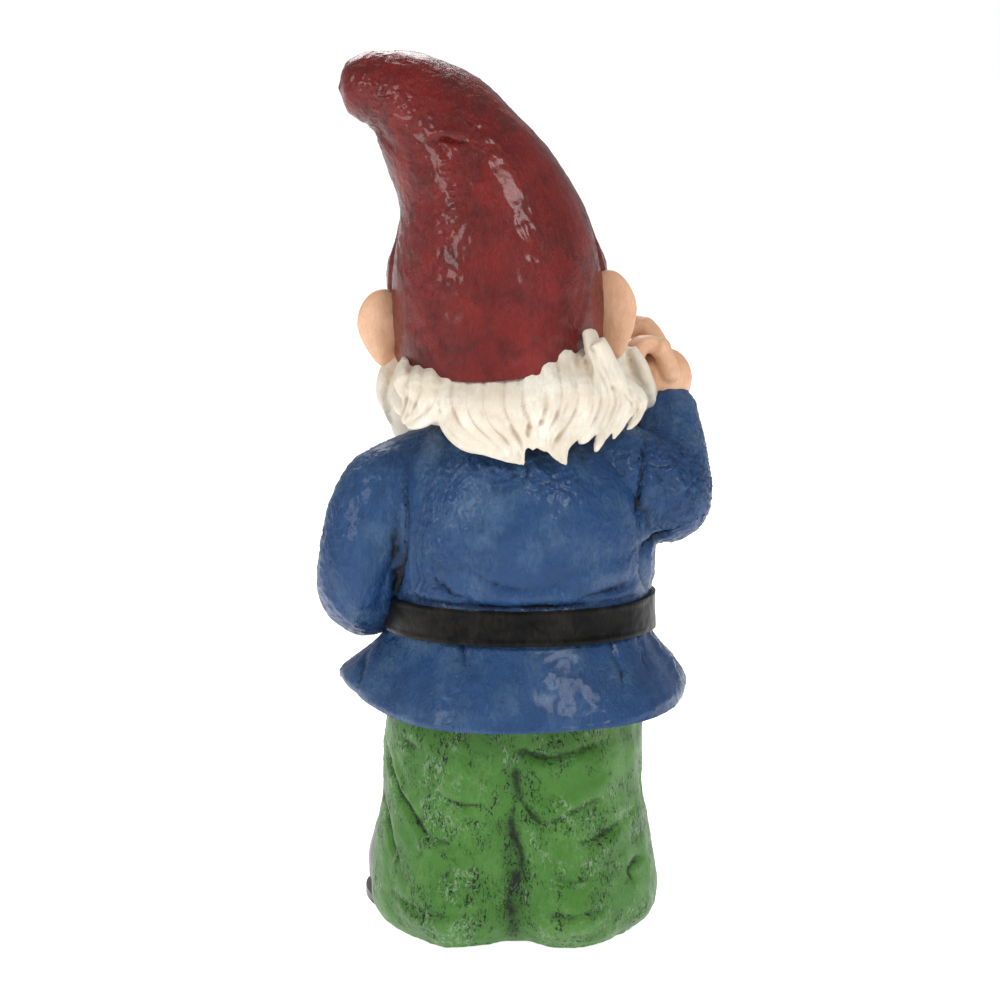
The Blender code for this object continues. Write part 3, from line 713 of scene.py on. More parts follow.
# %% The tunic's creases and folds
strokes(tunic, (
    ([(48, 205), (48, 195), (49, 181), (51, 169), (53, 157)], 1.7, -4.2),  # under the left arm
    ([(50, 190), (53, 178), (58, 163), (62, 148)], 2.2, -1.2),
    ([(44, 200), (45, 186), (47, 164)], 1.4, 0.8),
    ([(50, 158), (30, 157.5), (4, 157.5), (-30, 157.5), (-56, 158)], 1.5, -1.6),  # above the belt
    ([(48, 162), (30, 161), (4, 161), (-30, 161.5), (-54, 162)], 2.6, 1.6),
    ([(32, 232), (33, 217), (35, 196), (38, 176), (38, 167)], 2.0, 0.9),  # edge of the flat back
    ([(29, 226), (30, 205), (33, 184)], 3.0, -0.6),
    ([(24, 180), (16, 172), (6, 167), (-8, 165)], 1.3, -1.0),  # sag over the belt
    ([(25, 176), (15, 168), (4, 163), (-10, 162)], 2.6, 1.2),
    ([(36, 169), (31, 165), (26, 161), (16, 159)], 1.5, -2.6),
    ([(-30, 160), (-42, 162), (-52, 164)], 1.6, -3.0),
    ([(-30, 167), (-40, 170), (-52, 171)], 3.4, 1.9),
    ([(-8, 163), (-20, 164), (-30, 168)], 3.0, 0.8),
    ([(-60, 234), (-58, 214), (-56, 199), (-56, 186)], 1.4, -1.9),  # right armhole
    ([(-53, 230), (-51, 214), (-50, 196)], 2.4, 0.6),
    ([(-71, 185), (-64, 182), (-57, 179)], 1.8, -3.2),
    ([(-57, 181), (-57, 169), (-61, 158)], 1.4, -1.6),
    ([(-61, 180), (-61, 171), (-62, 163)], 2.6, 1.4),
    ([(-61, 228), (-67, 220), (-73, 210), (-76, 203), (-74, 193)], 1.7, 1.2),
    ([(-58, 222), (-64, 214), (-69, 204), (-70, 196)], 1.8, -0.8),
    ([(-77, 219), (-83, 212), (-87, 206)], 1.6, 1.1),
    ([(86, 160), (78, 150), (68, 141)], 2.0, 1.0),
), widen=1.3)
strokes(tunic, (  # the front
    ([(0, 226), (1, 205), (0, 185), (-2, 162)], 0.9, -1.0),  # the opening
    ([(-4, 222), (-3, 200), (-5, 164)], 2.0, 0.8),
    ([(-52, 206), (-46, 190), (-47, 172), (-52, 162)], 1.8, -2.2),
    ([(40, 206), (36, 190), (34, 176)], 1.8, -1.6),
    ([(-36, 165), (-28, 161), (-16, 160)], 1.7, -2.2),
    ([(12, 160), (22, 163), (30, 168)], 1.6, -1.8),
    ([(-30, 192), (-22, 182), (-12, 174)], 2.6, 1.0),
    ([(-75, 196), (-66, 200), (-60, 207)], 1.8, -1.8),
    ([(-80, 205), (-72, 208), (-64, 216)], 1.8, 1.0),
    ([(58, 165), (66, 158), (76, 156)], 1.8, -1.4),
    ([(60, 160), (68, 151), (74, 148)], 1.8, 1.0),
), side=-1)
lumps(tunic, 22, 1.0, 11)
lumps(tunic, 8, 0.35, 13)
SHINE = near(((0, 55, 222), (42, 30, 15)), ((-72, 5, 208), (20, 30, 22)), ((36, 50, 190), (6, 20, 34)))
crackle(tunic, 1.10, 4.8, 0.40, SHINE)
crackle(tunic, 0.55, 2.8, 0.35, SHINE)
feel(tunic)


# %% Parting the tunic at its armholes
def part(obj, name, keep):
    """A closed copy of the faces for which keep(middle in millimetres) is true."""
    bm = bmesh.new()
    bm.from_mesh(obj.data)
    away = [face for face in bm.faces if not keep(face.calc_center_median() / MM)]
    bmesh.ops.delete(bm, geom=away, context="FACES")
    rim = [edge for edge in bm.edges if edge.is_boundary]
    for edge in rim:
        edge.smooth = False
    bmesh.ops.holes_fill(bm, edges=rim, sides=0)
    bmesh.ops.triangulate(bm, faces=[face for face in bm.faces if len(face.verts) > 4])
    return place(name, bm)


def in_left(p):
    return p.x > 44 + 0.15 * p.y


def in_right(p):
    return p.x < -56 and p.z > 160 - 0.36 * p.x


show(part(tunic, "left_sleeve", in_left), BLUE, "tunic_paint", "sleeve_left")
show(part(tunic, "right_sleeve", in_right), BLUE, "tunic_paint", "sleeve_right")
body = part(tunic, "tunic_top", lambda p: not in_left(p) and not in_right(p))
show(body, BLUE, "tunic_paint", "tunic_body")
bpy.data.objects.remove(tunic)

# %% [markdown]
# ## The skirt
#
# Below the belt the tunic is a bell. Waves in its rings and a lifted, curled corner on each side keep
# it from looking turned on a lathe. Only then does the single skin get its wall and a soft hem.

# %% The skirt of the tunic
SKIRT = (
    (-0.0030, 0, 0.1403, 0.0590, 0.0620, 0.0555), (-0.0028, 0, 0.1330, 0.0625, 0.0660, 0.0595),
    (-0.0024, 0, 0.1230, 0.0695, 0.0725, 0.0660), (-0.0020, 0, 0.1120, 0.0755, 0.0780, 0.0720),
    (-0.0020, 0, 0.1055, 0.0765, 0.0790, 0.0730),
)
SKIRT_WALL = 0.005
skirt = place("tunic_skirt_cloth", rolled(SKIRT, 300, 40))
points = read(skirt)
low = np.clip((0.140 - points[:, 2]) / 0.0345, 0, 1)  # 0 at the belt, 1 at the hem
turn = np.arctan2(points[:, 1], points[:, 0])
out = np.stack([np.cos(turn), np.sin(turn), 0 * turn], 1)
points += out * (low * 0.0022 * np.cos(5 * turn + 0.6))[:, None]
points[:, 2] += low * 0.0016 * np.cos(2 * turn)
left, right = np.exp(-((turn / 0.5) ** 2)), np.exp(-(((np.abs(turn) - math.pi) / 0.5) ** 2))
flare = low * (0.0070 * left + 0.0045 * right)
curl = np.clip((low - 0.70) / 0.30, 0, 1) ** 1.5 * (0.0060 * left + 0.0025 * right)
points += out * (flare - curl)[:, None]
points[:, 2] += low**2 * (0.0065 * left + 0.0015 * right)
write(skirt, points)
stroke(skirt, [(70, 112), (40, 107), (0, 105), (-40, 106), (-72, 113)], 1.6, 0.8, fade=0.2)
strokes(skirt, (
    ([(20, 146), (23, 139), (21, 131)], 1.2, -2.4),
    ([(27, 144), (30, 137), (31, 128)], 3.0, 0.8),
    ([(49, 145), (52, 141), (56, 136)], 1.4, -1.8),
    ([(67, 130), (69, 123), (72, 114)], 2.2, -1.6),
    ([(-41, 144), (-45, 136), (-48, 128), (-49, 119)], 1.4, -1.7),
    ([(-48, 144), (-52, 136)], 1.1, -1.3),
    ([(-54, 144), (-57, 136), (-60, 126)], 1.4, -1.8),
    ([(-62, 140), (-68, 131), (-76, 119)], 3.0, 1.4),
    ([(-28, 143), (-28, 138)], 0.8, -1.1),
    ([(8, 140), (8, 125), (9, 106)], 5.0, 0.8),
    ([(-22, 138), (-26, 122), (-28, 108)], 5.0, -0.8),
    ([(45, 138), (52, 124), (58, 112)], 4.0, -0.9),
))
strokes(skirt, (  # the front
    ([(-30, 144), (-34, 130), (-38, 112)], 2.0, -1.8),
    ([(-14, 144), (-15, 132)], 1.5, -1.5),
    ([(20, 144), (24, 130), (26, 112)], 2.0, -1.8),
    ([(42, 143), (50, 130), (56, 115)], 2.0, -1.6),
    ([(0, 143), (0, 120), (1, 104)], 1.0, -1.4),
), side=-1)
lumps(skirt, 20, 0.9, 21)
lumps(skirt, 7, 0.3, 22)
crackle(skirt, 0.45, 5.0, 0.7)
thicken(skirt, SKIRT_WALL, bevel(0.0020, 4))
finish(skirt, BLUE, "tunic_paint", "tunic_skirt")

# %% [markdown]
# ## The trousers
#
# The legs are one casting with a crease down its middle, back and front. Baggy cloth breaks into long
# folds that hang from the seat and pile up above the boots.

# %% The trousers
TROUSERS = (
    (-0.0005, 0, 0.0010, 0.0560, 0.0500, 0.0440), (-0.0005, 0, 0.0120, 0.0655, 0.0560, 0.0520),
    (-0.0005, 0, 0.0350, 0.0640, 0.0550, 0.0510), (0.0000, 0, 0.0650, 0.0595, 0.0540, 0.0500),
    (-0.0005, 0, 0.0950, 0.0585, 0.0550, 0.0510), (-0.0030, 0, 0.1400, 0.0534, 0.0564, 0.0499),
)
TROUSER_WALL = 0.005
trousers = place("trouser_legs", rolled(TROUSERS, 260, 100))
points = read(trousers)
x, y, z = points.T
low = np.clip(1 - z / 0.110, 0, None)
swell = 0.010 * np.exp(-(((np.abs(x) - 0.032) / 0.018) ** 2))
points[:, 1] += np.sign(y) * low * (swell - 0.009 * np.exp(-((x / 0.012) ** 2)))
write(trousers, points)
strokes(trousers, (
    ([(0, 92), (-1, 71), (1, 56), (-3, 46), (-3, 36), (2, 25), (0, 8)], 1.3, -1.0),  # middle seam
    ([(51, 92), (44, 89)], 1.3, -1.4),
    ([(61, 95), (53, 70), (39, 52), (26, 49)], 1.5, -1.7),
    ([(58, 88), (48, 64), (36, 47), (26, 44)], 2.6, 1.2),
    ([(57, 78), (49, 64), (37, 50)], 1.3, -1.3),
    ([(60, 66), (56, 47), (51, 35)], 1.5, -1.8),
    ([(36, 72), (24, 67), (13, 67)], 1.4, -1.5),
    ([(36, 76), (24, 72), (13, 72)], 2.6, 1.1),
    ([(53, 16), (37, 12), (18, 14)], 2.6, 1.6),
    ([(54, 21), (37, 17), (18, 18)], 1.5, -1.5),
    ([(34, 36), (22, 30), (10, 32)], 1.5, -1.2),
    ([(-2, 84), (-3, 71), (-8, 62), (-14, 58), (-26, 63), (-42, 69)], 1.6, -1.9),
    ([(-4, 78), (-8, 68), (-16, 64), (-28, 69), (-42, 75)], 2.8, 1.3),
    ([(1, 87), (-5, 91), (-14, 88), (-27, 90), (-43, 93)], 1.6, -1.7),
    ([(-12, 83), (-22, 85), (-37, 89)], 2.8, 1.3),
    ([(-28, 49), (-37, 50), (-44, 53), (-55, 59)], 1.5, -1.6),
    ([(-26, 45), (-38, 45), (-50, 50)], 2.8, 1.2),
    ([(-12, 13), (-26, 12), (-42, 15)], 2.6, 1.6),
    ([(-12, 18), (-26, 17), (-42, 20)], 1.5, -1.5),
    ([(-59, 37), (-53, 33), (-55, 26)], 1.1, -1.8),
    ([(-56, 80), (-60, 66), (-61, 50)], 2.0, -1.2),
    ([(-14, 36), (-26, 32), (-38, 35)], 1.4, -1.2),
), widen=1.35)
strokes(trousers, (  # the front
    ([(0, 100), (0, 60), (1, 30), (0, 6)], 1.8, -1.8),
    ([(8, 84), (22, 78), (40, 80)], 1.7, -1.7),
    ([(10, 62), (26, 54), (46, 60)], 2.0, 1.5),
    ([(-8, 84), (-22, 78), (-40, 80)], 1.7, -1.7),
    ([(-10, 62), (-26, 56), (-46, 62)], 2.0, 1.5),
    ([(12, 56), (27, 49), (46, 54)], 1.6, -1.6),
    ([(-12, 57), (-27, 51), (-46, 56)], 1.6, -1.6),
), side=-1)
lumps(trousers, 18, 1.3, 31)
lumps(trousers, 7, 0.5, 32)
crackle(trousers, 0.45, 5.0, 0.6)
thicken(trousers, TROUSER_WALL, bevel(0.0010, 2))
finish(trousers, GREEN, "trouser_paint", "trousers")

# %% [markdown]
# ## Hair and beard
#
# Carved hair is a mass of locks, each thick in the middle and pointed at its end, that overlap like
# leaves. Each lock is a tapered tube along a smooth curve over the head. The whole mass is fused, and
# then every lock gets three fine lines along it, cut with the same stroke as the creases.

# %% Locks at the back
HAIR_CORE = (
    (0.0010, 0.006, 0.2350, 0.0400, 0.0050, 0.0490), (0.0010, 0.006, 0.2400, 0.0530, 0.0050, 0.0540),
    (0.0015, 0.006, 0.2500, 0.0520, 0.0050, 0.0490), (0.0040, 0.004, 0.2720, 0.0390, 0.0050, 0.0400),
)
HAIR_LOCKS = (  # (x, z) points of each lock from the rim to its tip, in millimetres, and its radius
    (((45, 268), (49, 258), (48, 253), (47, 247), (49, 241), (49, 235)), 3.6),
    (((41, 270), (43, 256), (44, 248), (47, 240), (49, 236)), 3.8),
    (((35, 269), (37, 256), (39, 247), (44, 240), (48, 236)), 3.8),
    (((30, 268), (31, 252), (35, 243), (42, 238), (47, 235)), 4.0),
    (((28, 266), (29, 250), (27, 240), (20, 232), (10, 227), (0, 223), (-5, 220)), 4.8),
    (((21, 264), (23, 250), (20, 240), (13, 233), (3, 227), (-3, 223)), 4.6),
    (((14, 264), (16, 248), (12, 238), (4, 230), (-3, 223)), 4.6),
    (((7, 264), (9, 248), (5, 238), (-2, 230), (-5, 220)), 4.6),
    (((-1, 264), (0, 248), (-3, 238), (-7, 231), (-9, 226)), 4.4),
    (((-8, 269), (-8, 249), (-11, 239), (-11, 232), (-14, 225)), 4.4),
    (((-13, 274), (-18, 252), (-18, 243), (-15, 234), (-18, 225), (-24, 219)), 4.4),
    (((-20, 278), (-25, 254), (-24, 244), (-19, 234), (-18, 228)), 4.2),
    (((-27, 278), (-32, 255), (-32, 245), (-27, 236), (-22, 228), (-24, 220)), 4.6),
    (((-33, 277), (-38, 261), (-40, 248), (-37, 239), (-31, 232), (-29, 229)), 4.4),
    (((-37, 274), (-43, 260), (-47, 249), (-45, 240), (-39, 232), (-36, 225)), 4.4),
    (((-45, 255), (-50, 252), (-52, 247), (-50, 241), (-46, 234), (-44, 230)), 4.2),
    (((-50, 252), (-54, 249), (-57, 244), (-55, 238), (-50, 233)), 4.0),
)


NAPE_X, NAPE_Y, LOBE_Z = 2, 5, 259  # the middle of the nape, and the height of the ears' lobes
RIM_LINE = ((-58, 300), (-38, 285), (-26, 273), (-11, 264), (3, 259), (17, 258), (42, 265), (56, 284))


def on_nape(x, z):
    """The place in millimetres of a lock's middle that is seen at (x, z); above the rim it dives in."""
    rim = np.interp(x, *zip(*RIM_LINE))
    clear = 1 / (1 + math.exp((z - rim + 3) / 2.5))  # 1 under the rim, 0 over it
    wide, deep = 35 + 28 * clear, 33 + 18 * clear
    across = min(max((x - NAPE_X) / wide, -0.97), 0.97)
    over_lobe = 1 / (1 + math.exp((LOBE_Z - z) / 4))
    beside = min(max((abs(across) - 0.72) / 0.15, 0), 1) * over_lobe  # these run behind the ear
    return NAPE_X + across * wide, NAPE_Y + deep * math.sqrt(1 - across**2) - 30 * beside, z


def lock(bm, path, wide, thick, around=24, up=36):
    """Lays one lock through (x, y, z) points in millimetres: full in the middle, pointed at its end."""
    t = np.linspace(0, 1, 12)
    rows = along(path, t)
    full = (0.65 + 0.35 * np.sin(math.pi * np.minimum(t * 1.6, 1))) * (1 - 0.9 * t**4)
    sizes = np.outer(full, (wide, thick, thick))
    facing = Vector(rows[4]) - Vector((4, 0, rows[4][2]))
    tube = rolled(MM * np.hstack([rows, sizes]), around, up, False, True, facing.normalized())
    mesh = bpy.data.meshes.new("lock")
    tube.to_mesh(mesh)
    tube.free()
    bm.from_mesh(mesh)
    bpy.data.meshes.remove(mesh)


bm = rolled(HAIR_CORE, 80, 40, closed=True)
for path, radius in HAIR_LOCKS:
    lock(bm, [on_nape(x, z) for x, z in path], radius * 1.45, radius)
hair = fuse(place("hair", bm), 0.0008, 3)
for path, radius in HAIR_LOCKS:
    for shift, width, depth in ((0.95, 1.0, -0.9), (0.30, 0.8, -0.5), (-0.35, 0.8, -0.4)):
        line = [(x + radius * shift, z) for x, z in path]
        stroke(hair, line, width, depth)
points = read(hair)
over = points[:, 2] / MM - np.interp(points[:, 0] / MM, *zip(*RIM_LINE))
points[:, 2] -= 0.85 * MM * np.clip(over, 0, None)  # the hat presses the locks' roots down
write(hair, points)
lumps(hair, 16, 1.3, 40)
lumps(hair, 8, 0.5, 41)
finish(hair, WHITE, "hair_paint", "hair_back")

# %% [markdown]
# ## Beard
#
# The beard runs from cheek to cheek and comes to a point on the chest. Its locks start under the hat
# and the ears, and swing alternately left and right on their way down, so no two lie parallel.

# %% The beard
BEARD = (
    (0.0030, -0.062, 0.1760, 0.0080, 0.0080, 0.0060), (0.0020, -0.055, 0.1880, 0.0230, 0.0170, 0.0150),
    (0.0010, -0.043, 0.2060, 0.0400, 0.0240, 0.0250), (-0.0010, -0.026, 0.2250, 0.0575, 0.0340, 0.0250),
    (-0.0020, -0.014, 0.2420, 0.0625, 0.0400, 0.0230), (-0.0015, -0.010, 0.2560, 0.0590, 0.0340, 0.0170),
    (-0.0020, -0.008, 0.2690, 0.0510, 0.0240, 0.0100),
)
BEARD_LOCKS = 19


def on_beard(t, turn, inside):
    """A point in millimetres on the beard's outline, t up it and turned round it, a little inside."""
    x, y, z, width, front, back = along(BEARD, np.array([t]))[0] / MM
    depth = front if math.sin(turn) > 0 else back
    return (
        x + (width - inside) * math.cos(turn), y - (depth - inside) * math.sin(turn), z,
    )


def beard_path(share, start, end, swing):
    """A lock's way down the beard: share is -1 at the right cheek and 1 at the left."""
    turn = math.radians(90 - 92 * share)
    steps = np.linspace(0, 1, 7)
    return [
        on_beard(start + (end - start) * f, turn + swing * math.sin(math.tau * 0.8 * f), 1.5)
        for f in steps
    ]


core = [(x, y, z, 0.97 * a, 0.97 * b, 0.97 * c) for x, y, z, a, b, c in BEARD]
bm = rolled(core, 80, 50, closed=True)
beard_locks = []
for k in range(BEARD_LOCKS):
    share = 2 * k / (BEARD_LOCKS - 1) - 1
    top = 0.95 - 0.22 * (1 - share**2)
    beard_locks.append(beard_path(share, top, 0.52 * abs(share) ** 1.4 + 0.01, 0.13 * (-1) ** k))
for k in range(1, BEARD_LOCKS - 1, 2):
    share = 2 * k / (BEARD_LOCKS - 1) - 1
    top = 0.80 - 0.18 * (1 - share**2)
    beard_locks.append(beard_path(share * 0.8, top, 0.3 + 0.25 * abs(share), -0.16 * (-1) ** k))
for path in beard_locks:
    lock(bm, path, 6.4, 4.2)
beard = fuse(place("beard_hair", bm), 0.0010, 2)
for path in beard_locks:
    for shift, width, depth in ((5.0, 1.3, -0.9), (1.8, 0.9, -0.5), (-1.6, 0.9, -0.4)):
        if path[3][1] < -20:
            stroke(beard, [(x + shift, z) for x, y, z in path], width, depth, -1)
lumps(beard, 16, 1.2, 42)
lumps(beard, 8, 0.5, 43)
finish(beard, WHITE, "hair_paint", "beard")

# %% [markdown]
# ## The head
#
# The face follows the plainest proportions: the eyes stand one eye apart, the nose hangs to the middle
# of the lower half, and moustache and beard cover the mouth. The head is one rolled shape; cheeks,
# sockets and lids are pushed and pressed into it.

# %% The head
HEAD = (  # about the head's own middle
    (0, 0, -0.0520, 0.0195, 0.0195, 0.0195), (0, 0, -0.0400, 0.0205, 0.0210, 0.0210),
    (0, 0, -0.0330, 0.0330, 0.0360, 0.0320), (0, 0, -0.0160, 0.0440, 0.0460, 0.0420),
    (0, 0, 0.0000, 0.0455, 0.0470, 0.0450), (0, 0, 0.0160, 0.0430, 0.0440, 0.0450),
    (0, 0, 0.0310, 0.0350, 0.0360, 0.0380), (0, 0, 0.0420, 0.0180, 0.0190, 0.0200),
)
HEAD_POSE = Matrix.Translation(HEAD_MIDDLE) @ Matrix.Rotation(math.radians(3.5), 4, "Y")


def on_head(x, y, z):
    """A point given about the head's middle in millimetres, put in its place in metres."""
    return HEAD_POSE @ (Vector((x, y, z)) * MM)


def swell(obj, centre, reach, height):
    """Pushes a soft mound out, or a hollow in, round a point of the head, in millimetres."""
    away = np.linalg.norm(read(obj) / MM - np.array(on_head(*centre) / MM), axis=1)
    push(obj, MM * height * np.exp(-((away / reach) ** 2)))


def face_line(path):
    """(x, z) points about the head's middle, as (x, z) points of the scene, in millimetres."""
    spots = [on_head(x, -45, z) / MM for x, z in path]
    return [(spot.x, spot.z) for spot in spots]


bm = rolled(HEAD, 180, 120, closed=True)
bmesh.ops.transform(bm, matrix=HEAD_POSE, verts=bm.verts)
head = place("head_skin", bm)
for sign in (1, -1):
    swell(head, (sign * 23, -40, -9), 12, 4.0)  # cheek
    swell(head, (sign * 15, -46, 5), 9, -3.4)  # socket
    swell(head, (sign * 16, -45, 15), 7, 2.0)  # brow bone
    swell(head, (sign * 40, -20, 2), 10, -1.2)
    stroke(head, face_line([(sign * 24, 8), (sign * 28, 9), (sign * 32, 7)]), 0.9, -0.6, -1)
    stroke(head, face_line([(sign * 24, 4), (sign * 28, 2), (sign * 31, -1)]), 0.9, -0.6, -1)
    stroke(head, face_line([(sign * 9, -2), (sign * 15, -5), (sign * 22, -3)]), 1.2, -0.8, -1)
stroke(head, face_line([(-14, 24), (0, 26), (14, 24)]), 1.0, -0.7, -1)
lumps(head, 14, 0.4, 51)
finish(head, SKIN, "skin_paint", "head")

# %% [markdown]
# ## The face's parts
#
# Nose, brows and moustache are clay that is fused and kneaded. An eye is a ball whose front is painted
# in rings, and its lid is a thin cap of the same ball with a wall. An ear is a flattened ball, with its
# front pressed in like a bowl.

# %% Nose
bm = bmesh.new()
ball(bm, on_head(0, -52, -8), (0.0115, 0.0115, 0.0110), segments=40)
BRIDGE = ((0, -50, -6, 0.0085), (0, -43.5, 2, 0.0062), (0, -38.5, 9, 0.0045))
limb(bm, [(*on_head(*middle), radius) for *middle, radius in BRIDGE])
for sign in (1, -1):
    ball(bm, on_head(sign * 8, -50, -11), (0.0058, 0.0065, 0.0055))
nose = fuse(place("nose_skin", bm), 0.0007, 6)
for sign in (1, -1):
    stroke(nose, face_line([(sign * 4.5, -5), (sign * 6, -8), (sign * 5, -13)]), 1.0, -0.6, -1)
finish(nose, SKIN, "skin_paint", "nose")

# %% Eyes
IRIS, PUPIL, EYE = 3.3, 1.5, 6.2  # radii in millimetres
EYE_X, EYE_Y, EYE_Z = 15, -41.5, 5  # the left eye about the head's middle, in millimetres
glass = Paint("eye_glaze", 0.12, 0.8, 0.05)
ring = glass.attribute("ring")
speck = glass.noise(0.0012, 3.0)
blue = glass.mix(speck, (0.05, 0.16, 0.30), (0.14, 0.30, 0.44))
white = glass.mix(glass.level(ring, 4.0, 9.0), (0.74, 0.71, 0.64), (0.55, 0.40, 0.30))
iris = glass.mix(glass.level(ring, IRIS - 0.15, IRIS + 0.15), blue, white)
dark_rim = glass.node("ShaderNodeMath", {"operation": "COMPARE"}, {0: ring, 1: IRIS, 2: 0.35})
iris = glass.mix(dark_rim * 0.8, iris, (0.01, 0.02, 0.03))
pupil = glass.level(ring, PUPIL - 0.12, PUPIL + 0.12)
glass.feed(glass.shader.inputs["Base Color"], glass.mix(pupil, (0.004, 0.004, 0.004), iris))

for side, sign in (("left", 1), ("right", -1)):
    bm = bmesh.new()
    bmesh.ops.create_icosphere(bm, subdivisions=6, radius=EYE * MM)
    middle = Matrix.Translation(on_head(sign * EYE_X, EYE_Y, EYE_Z))
    bmesh.ops.transform(bm, matrix=middle, verts=bm.verts)
    eye = place("eyeball_" + side, bm)
    gaze = np.array(on_head(sign * (EYE_X - 0.6), EYE_Y - EYE, EYE_Z - 0.6)) / MM
    away = np.linalg.norm(read(eye) / MM - gaze, axis=1)
    layer = eye.data.attributes.new("ring", "FLOAT", "POINT")
    layer.data.foreach_set("value", away.astype(np.float32))
    show(eye, glass.material, "eye_paint", "eye_" + side)

# %% Eyelids
LID_THICK = 0.0011
bm = bmesh.new()
for sign in (1, -1):
    middle = on_head(sign * EYE_X, EYE_Y, EYE_Z)
    for up, reach in ((1, 2.5), (-1, 3.0)):
        made = bmesh.ops.create_uvsphere(
            bm, u_segments=48, v_segments=32, radius=(EYE + 0.15) * MM, matrix=Matrix.Translation(middle)
        )["verts"]
        links = {thing for vert in made for thing in (*vert.link_edges, *vert.link_faces)}
        normal = Vector((sign * -0.10, 0.22 * up, -up))
        spot = middle + Vector((0, 0, up * reach * MM))
        bmesh.ops.bisect_plane(
            bm, geom=[*made, *links], plane_co=spot, plane_no=normal, clear_outer=True
        )
lids = place("eyelids", bm)
thicken(lids, LID_THICK, bevel(0.0004, 3, 1.0), offset=1)
finish(lids, SKIN, "skin_paint")

# %% Brows and moustache
for side, sign in (("left", 1), ("right", -1)):
    bm = bmesh.new()
    for drop in (0.0, 1.6, 3.0):
        path = [(7 + drop, -46, 13 + drop), (15, -45, 15.5 + drop * 0.5), (28 + drop, -37, 9 + drop)]
        spots = [on_head(sign * x, y, z) / MM for x, y, z in path]
        lock(bm, spots, 3.1, 2.8)
    brow = fuse(place("brow_hair_" + side, bm), 0.0006, 2)
    finish(brow, WHITE, "hair_paint", "brow_" + side)
    bm = bmesh.new()
    for lift in range(5):
        path = [
            (2 + lift * 0.6, -53, -17 - lift * 1.3), (14, -55 + lift * 0.4, -19 - lift * 1.9),
            (27, -50 + lift * 0.3, -21 - lift * 2.4), (38 + lift * 0.6, -42, -14 - lift * 3.6),
        ]
        spots = [on_head(sign * x, y, z) / MM for x, y, z in path]
        lock(bm, spots, 3.6, 4.2)
    moustache = fuse(place("moustache_hair_" + side, bm), 0.0007, 2)
    for shift in (0.0, 2.4, 5.0, 7.4):
        line = face_line([(sign * 6, -19 - shift), (sign * 20, -20 - shift), (sign * 34, -17 - shift)])
        stroke(moustache, line, 0.5, -0.45, -1)
    finish(moustache, WHITE, "hair_paint", "moustache_" + side)

# %% Ears
for side, sign, tall in (("left", 1, 17.5), ("right", -1, 20.0)):
    bm = bmesh.new()
    bmesh.ops.create_uvsphere(bm, u_segments=90, v_segments=70, radius=1)
    for vert in bm.verts:
        x, y, z = vert.co
        taper = 1 - 0.55 * max(-z, 0) ** 1.3 + 0.08 * max(z, 0)
        cup = 0.30 * math.exp(-((x - 0.1) ** 2 + z**2) / 0.22)  # the hollow of the ear, at its front
        rim = 0.10 * math.exp(-(((math.hypot(x, z) - 0.8) / 0.12) ** 2))
        front = max(-y, 0) ** 0.5
        across, deep = x * taper + 0.13 * sign * z, y + front * (2.2 * cup - rim)
        vert.co = Vector((12.5 * across, 6.0 * deep, tall * z)) * MM
    tilt = Matrix.Rotation(math.radians(-12 * sign), 4, "Y")
    spread = Matrix.Rotation(math.radians(18 * sign), 4, "Z")
    pose = HEAD_POSE @ Matrix.Translation((sign * 0.0515, 0.002, 0.009)) @ (tilt @ spread)
    bmesh.ops.transform(bm, matrix=pose, verts=bm.verts)
    ear = place("ear_skin_" + side, bm)
    lumps(ear, 9, 0.5, 60 + sign)
    finish(ear, SKIN, "skin_paint", "ear_" + side)

# %% [markdown]
# ## Hands
#
# A hand is a palm and five bent fingers. Each finger is a limb through its knuckles; the fist is fused
# finely enough to keep the creases between them. The peg of each wrist sits in its cuff.


# %% Hands
def make_hand(name, wrist, run, palm, thumb_side, index=(), scale=1.1):
    """A closed fist. run points along the hand, palm out of its palm; index may stretch elsewhere.

    Its own sizes are in millimetres, and scale multiplies them.
    """
    run, palm = Vector(run).normalized(), Vector(palm).normalized()
    across = run.cross(palm).normalized()
    if across.dot(Vector(thumb_side)) < 0:
        across = -across

    def at(*steps):
        ways = zip((run, palm, across), steps)
        return Vector(wrist) + sum((way * step * scale * MM for way, step in ways), Vector())

    def finger(points, radius):
        rows = [(*at(*p), scale * radius * (1 - 0.05 * k) * MM) for k, p in enumerate(points)]
        limb(bm, rows, 9)
        ball(bm, at(*points[1]), (scale * radius * 1.10 * MM,) * 3)

    bm = bmesh.new()
    limb(bm, [(*at(-7.5, 0, 0), 0.0098), (*at(6, 0, 0), 0.0094)], 6)
    ball(bm, at(12.5, 0, 0), (0.0105 * scale, 0.0090 * scale, 0.0105 * scale))
    for k, side in enumerate((-8.5, -2.9, 2.9)):
        size = 3.7 - 0.2 * abs(k - 1)
        finger([(14, -1, side), (22.5, 2, side), (23.5, 8.5, side), (16.5, 11.5, side)], size)
    if index:
        root = [at(12, -1, 7.0), at(20, -1, 7.0), *map(Vector, index)]
        limb(bm, [(*point, 0.0064 - 0.0005 * k) for k, point in enumerate(root)])
    else:
        finger([(14, -1, 8.5), (22.5, 2, 8.5), (23.5, 8.5, 8.0)], 3.8)
    finger([(5, 3, 9.0), (12, 8, 13.5), (19, 12.5, 8.5)], 4.1)
    hand = fuse(place(name, bm), 0.0007, 4)
    lumps(hand, 6, 0.35, 71)
    return hand


